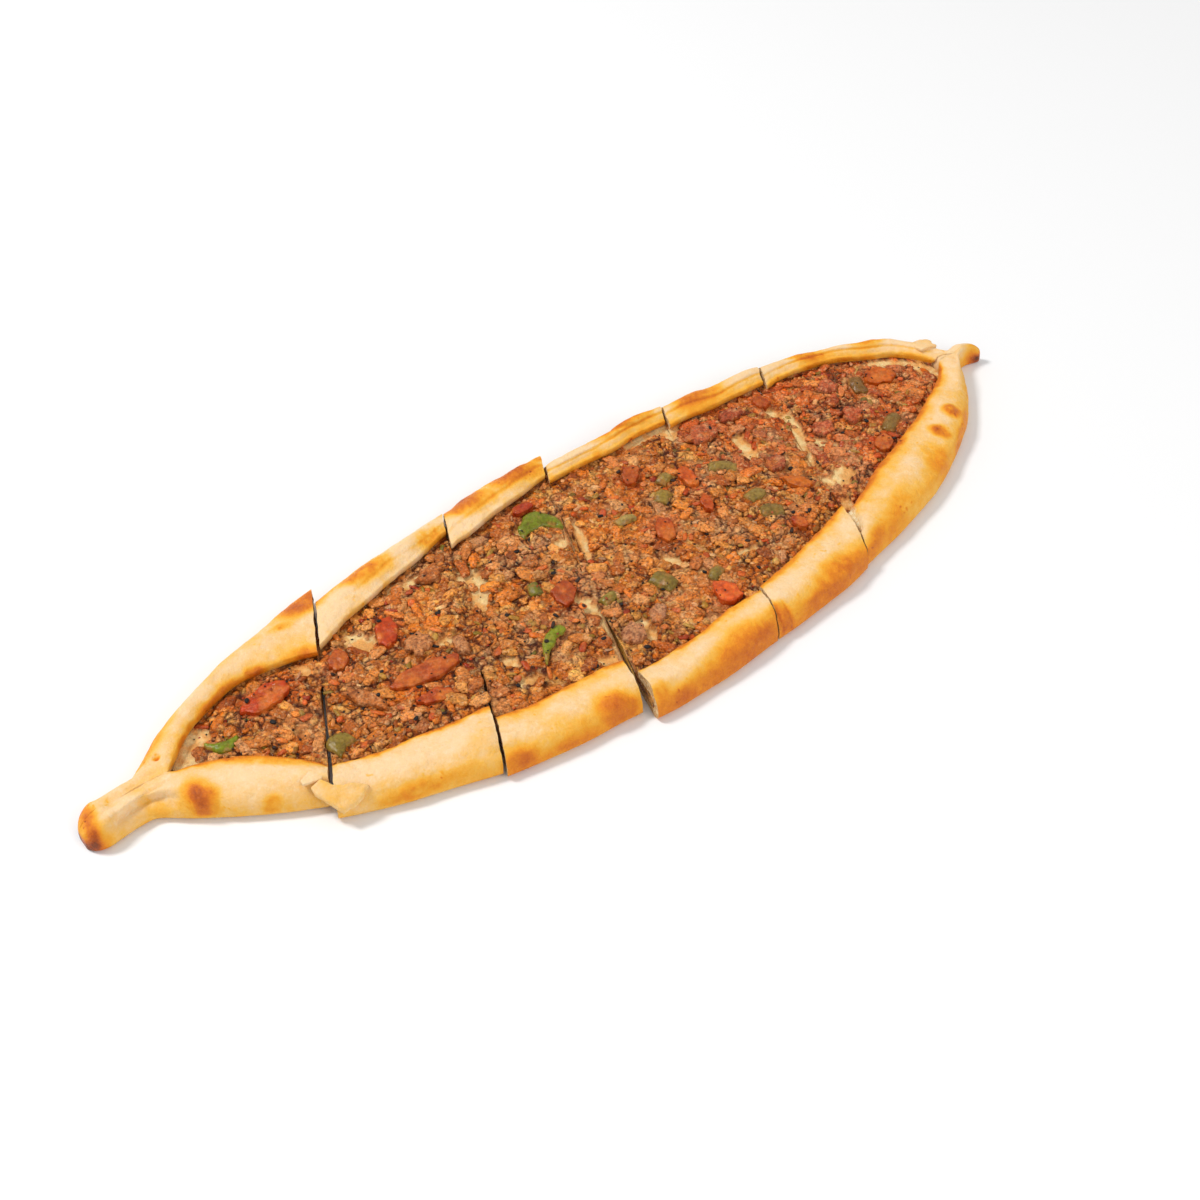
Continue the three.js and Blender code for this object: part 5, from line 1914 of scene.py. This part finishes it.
def ball(detail: int) -> tuple[Array, Array]:
    """Returns the points and triangles of a round ball of radius 1."""
    shape = bmesh.new()
    bmesh.ops.create_icosphere(shape, subdivisions=detail, radius=1)
    points = np.array([vertex.co[:] for vertex in shape.verts])
    faces = np.array([[vertex.index for vertex in face.verts] for face in shape.faces])
    shape.free()
    return points, faces


class Strewer:
    """Strews small pieces over the filling, clear of cuts, lips, bare places and toppings."""

    def __init__(self, heap: Heap, toppings: list[Topping]) -> None:
        """Keeps what the pieces are strewn over.

        Args:
            heap: The filling's level, bare places and redness.
            toppings: The large toppings.
        """
        self.heap = heap
        self.toppings = toppings
        self.grain = Grain(71)

    def places(self, crumb: Crumb, random: np.random.Generator) -> tuple[Array, Array, Array]:
        """Returns x, y and slice of each place for a kind of piece."""
        plan = self.heap.plan
        tries = crumb.count * TRIES_EACH
        x = random.uniform(plan.left_corner + 3, plan.right_corner - 3, tries)
        y = random.uniform(FRONT_LIMIT, BACK_LIMIT, tries)
        size = (crumb.length[0] + crumb.length[1]) / 4
        index = np.zeros(tries, dtype=int)
        clear = np.full(tries, 1e9)
        for cut in plan.cuts:
            line = cut.at + cut.slant * y + cut.bow * (1 - (y / plan.cut_half_span) ** 2)
            index += x > line
            clear = np.minimum(clear, np.abs(x - line) * 0.9 - plan.half_gap(cut, y))
        away = np.zeros(tries)
        for number in range(len(plan.slices)):
            here = index == number
            away[here] = self.heap.from_lip(number, x[here], y[here])
        keep = (away > size * 0.55) & (clear > size * 0.62)
        keep &= random.random(tries) > (1 - crumb.on_bare) * self.heap.bare(x, y)
        covered = np.zeros(tries, dtype=bool)
        for topping in self.toppings:
            covered |= topping.covers(x, y, size * 0.35)
        keep &= ~covered | (random.random(tries) < crumb.on_toppings)
        x, y, index = x[keep], y[keep], index[keep]
        chosen = self.spread_out(x, y, size * 2 * crumb.crowding)[:crumb.count]
        return x[chosen], y[chosen], index[chosen]

    def spread_out(self, x: Array, y: Array, apart: float) -> list[int]:
        """Picks places that are not too near to a place picked before.

        Args:
            x: Places along X, in millimetres.
            y: Places along Y.
            apart: How near two picked places may be.

        Returns:
            The numbers of the picked places, in order.
        """
        chosen: list[int] = []
        cells: dict[tuple[int, int], list[int]] = {}
        for i, (px, py) in enumerate(zip(x, y)):
            column, row = int(px // apart), int(py // apart)
            around = ((column + dx, row + dy) for dx in (-1, 0, 1) for dy in (-1, 0, 1))
            near = [j for cell in around for j in cells.get(cell, [])]
            if all((x[j] - px) ** 2 + (y[j] - py) ** 2 > apart * apart for j in near):
                cells.setdefault((column, row), []).append(i)
                chosen.append(i)
        return chosen

    def bodies(self, crumb: Crumb, random: np.random.Generator, points: Array,
               count: int) -> tuple[Array, Array]:
        """Shapes the pieces, each around its own middle.

        Args:
            crumb: The kind of piece.
            random: The kind's random draws.
            points: The points of a round ball.
            count: How many pieces to shape.

        Returns:
            The points, with shape (pieces, points, 3), and the half sizes of each piece.
        """
        sizes = [random.uniform(*limits, count) for limits in (crumb.length, crumb.width, crumb.height)]
        size = np.stack(sizes, axis=1) / 2
        offset = random.uniform(0, 400, (count, 1, 3))
        blocky = points / (np.sum(np.abs(points) ** crumb.boxy, axis=1) ** (1 / crumb.boxy))[:, None]
        blocky = np.broadcast_to(blocky, (count, *points.shape))
        spots = (blocky * 1.15 + offset).reshape(-1, 3)
        bulge = 1 + crumb.rough * self.grain.layered(spots, 1, 2)
        bulge = bulge + crumb.rough * 0.45 * self.grain.plain(spots + 50, 0.42)
        body = blocky * bulge.reshape(count, -1, 1) * size[:, None]
        turn = random.uniform(0, 2 * np.pi, count)[:, None]
        lean = random.normal(0, crumb.tilt, count)[:, None]
        x, y, z = body[..., 0], body[..., 1], body[..., 2]
        x, z = x * np.cos(lean) - z * np.sin(lean), x * np.sin(lean) + z * np.cos(lean)
        x, y = x * np.cos(turn) - y * np.sin(turn), x * np.sin(turn) + y * np.cos(turn)
        return np.stack([x, y, z], axis=-1), size

    def levels(self, x: Array, y: Array, index: Array) -> Array:
        """Returns how high the filling or a topping is at each place, in millimetres."""
        level = np.zeros(len(x))
        for number in range(len(self.heap.plan.slices)):
            here = index == number
            level[here] = self.heap.surface(number, x[here], y[here])[0]
        for topping in self.toppings:
            level = np.where(topping.covers(x, y, 0.0), topping.top - 0.15, level)
        return level

    def tints(self, crumb: Crumb, random: np.random.Generator, x: Array, y: Array) -> Array:
        """Returns the colour of each piece."""
        count = len(x)
        red_colours = crumb.red_colours or crumb.colours
        red = self.heap.redness(x, y) > random.random(count)
        pick = random.integers(0, len(crumb.colours), count)
        pick_red = random.integers(0, len(red_colours), count)
        base = np.where(red[:, None], np.array(red_colours)[pick_red], np.array(crumb.colours)[pick])
        if crumb.slot == Slot.MEAT:
            base = base * self.heap.warmth(on_plan(x, y))
        base = mix(base, self.heap.colour(x, y, np.zeros(count)) * 1.15, 0.35 * crumb.smeared / 0.4)
        return base * random.uniform(0.84, 1.14, (count, 1))

    def strew(self, crumb: Crumb, material: Material) -> None:
        """Makes all the pieces of one kind as one mesh.

        Args:
            crumb: The kind of piece.
            material: Its finish.
        """
        random = np.random.default_rng(crumb.seed)
        x, y, index = self.places(crumb, random)
        count = len(x)
        points, faces = ball(crumb.detail)
        body, size = self.bodies(crumb, random, points, count)
        z = self.levels(x, y, index) + size[:, 2] * (1 - 2 * crumb.sink)
        if crumb.slot == Slot.MEAT:
            z -= 0.45 * size[:, 2] * self.heap.smeared(on_plan(x, y))
        flat = (body + np.stack([x, y, z], axis=-1)[:, None]).reshape(-1, 3)
        tint = np.repeat(self.tints(crumb, random, x, y), len(points), axis=0)
        tint = tint * (1 + 0.3 * self.grain.layered(flat + 30, 1.2, 2))[:, None]
        tint = toward(tint, SMEAR, self.grain.blots(flat + 70, 4, 2, 0.1, 0.7) * crumb.smeared)
        # Painted shade: each piece is darker toward its bottom, where it sits down in the filling.
        low = np.repeat(z - size[:, 2] * 0.3, len(points))
        tint = tint * mix(0.72, 1.0, smooth(-0.6, 0.6, flat[:, 2] - low))[:, None]
        all_faces = (faces[None] + (np.arange(count) * len(points))[:, None, None]).reshape(-1, 3)
        piece = dressed(crumb.name, flat, all_faces, {"tint": np.clip(tint, 0, 1)}, material)
        finish_mesh(piece, [])
        LOG.info("%s: %d pieces", crumb.name, count)


def strew_all(heap: Heap, toppings: list[Topping]) -> None:
    """Strews every kind of small chopped piece over the filling.

    Args:
        heap: The filling's level, bare places and redness.
        toppings: The large toppings.
    """
    strewer = Strewer(heap, toppings)
    meat = WetFinish("chopped meat", roughness=(0.1, 0.45), see_into=0.1, depth=0.0015, relief=0.0011,
                     relief_scale=900, relief_shading=(0.64, 1.22), shine=0.24, specks=(0.6, 0.5)).material()
    juicy = WetFinish("chopped vegetable", roughness=(0.12, 0.4), see_into=0.2, depth=0.002, relief=0.0006,
                      relief_scale=700, relief_shading=(0.7, 1.1), shine=0.26, specks=(0.3, 0.14)).material()
    dry = WetFinish("dry spice", roughness=(0.4, 0.7), see_into=0.0, depth=0.001, relief=0.0003,
                    relief_scale=2500, relief_shading=(0.7, 1.2), shine=0.3).material()
    for crumbs, finish in ((MEAT_CRUMBS, meat), (JUICY_CRUMBS, juicy), (DRY_CRUMBS, dry)):
        for crumb in crumbs:
            strewer.strew(crumb, finish)


# ---- light and camera

SURROUNDING = 0.58
LAMPS = (("key", (-0.95, 1.15, 1.9), 0.5, 38.0), ("fill", (0.3, -1.9, 1.3), 1.2, 16.0))
FLOOR_HALF = 3000.0
FLOOR_TOP = -0.2
LENS = 51.39
SENSOR = 36
CAMERA_AT = (-0.33494, -0.42984, 0.53189)
CAMERA_LOOKS = (0.43333, 0.55877, -0.70711)


def light_the_stage() -> None:
    """Adds a pale surface under the food, a soft key light, a fill and an even surrounding."""
    scene = bpy.context.scene
    scene.view_settings.view_transform = "Standard"
    world = bpy.data.worlds.new("surrounding")
    world.use_nodes = True
    background = world.node_tree.nodes["Background"]
    background.inputs["Color"].default_value = (1, 1, 1, 1)
    background.inputs["Strength"].default_value = SURROUNDING
    scene.world = world
    for name, place, size, power in LAMPS:
        data = bpy.data.lights.new(name, "AREA")
        data.energy = power
        data.size = size
        light = bpy.data.objects.new(name, data)
        light.location = place
        light.rotation_euler = (-Vector(place)).to_track_quat("-Z", "Y").to_euler()
        scene.collection.objects.link(light)
    corners = ((-1, -1), (1, -1), (1, 1), (-1, 1))
    points = np.array([(x * FLOOR_HALF, y * FLOOR_HALF, FLOOR_TOP) for x, y in corners])
    paper = Paper("pale surface")
    paper.set(Base_Color=(0.86, 0.86, 0.86), Roughness=0.6)
    floor = dressed("floor", points, np.array([[0, 1, 2, 3]]), {}, paper.material)


def place_camera() -> None:
    """Places the camera where the food was looked at from."""
    data = bpy.data.cameras.new("camera")
    data.lens = LENS
    data.sensor_width = SENSOR
    data.sensor_fit = "HORIZONTAL"
    camera = bpy.data.objects.new("camera", data)
    camera.location = CAMERA_AT
    camera.rotation_euler = Vector(CAMERA_LOOKS).to_track_quat("-Z", "Y").to_euler()
    bpy.context.scene.collection.objects.link(camera)
    bpy.context.scene.camera = camera


def main() -> None:
    """Builds the looks of the whole pide around its fixed frame."""
    logging.basicConfig(level=logging.INFO, format="%(name)s: %(message)s")
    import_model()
    plan = BoatPlan()
    FINISHES["skin"] = CrustFinish().material()
    FINISHES["crumb"] = CrumbFinish().material()
    FINISHES["heap"] = FillingFinish().material()
    for index in range(len(plan.slices)):
        Crust(plan, index).build()
    for flap in FLAPS:
        flap.build(Grain(11))
    heap = Heap(plan)
    for index in range(len(plan.slices)):
        Core(heap, index).build()
    strew_all(heap, add_toppings())
    light_the_stage()
    place_camera()


if __name__ == "__main__":
    main()
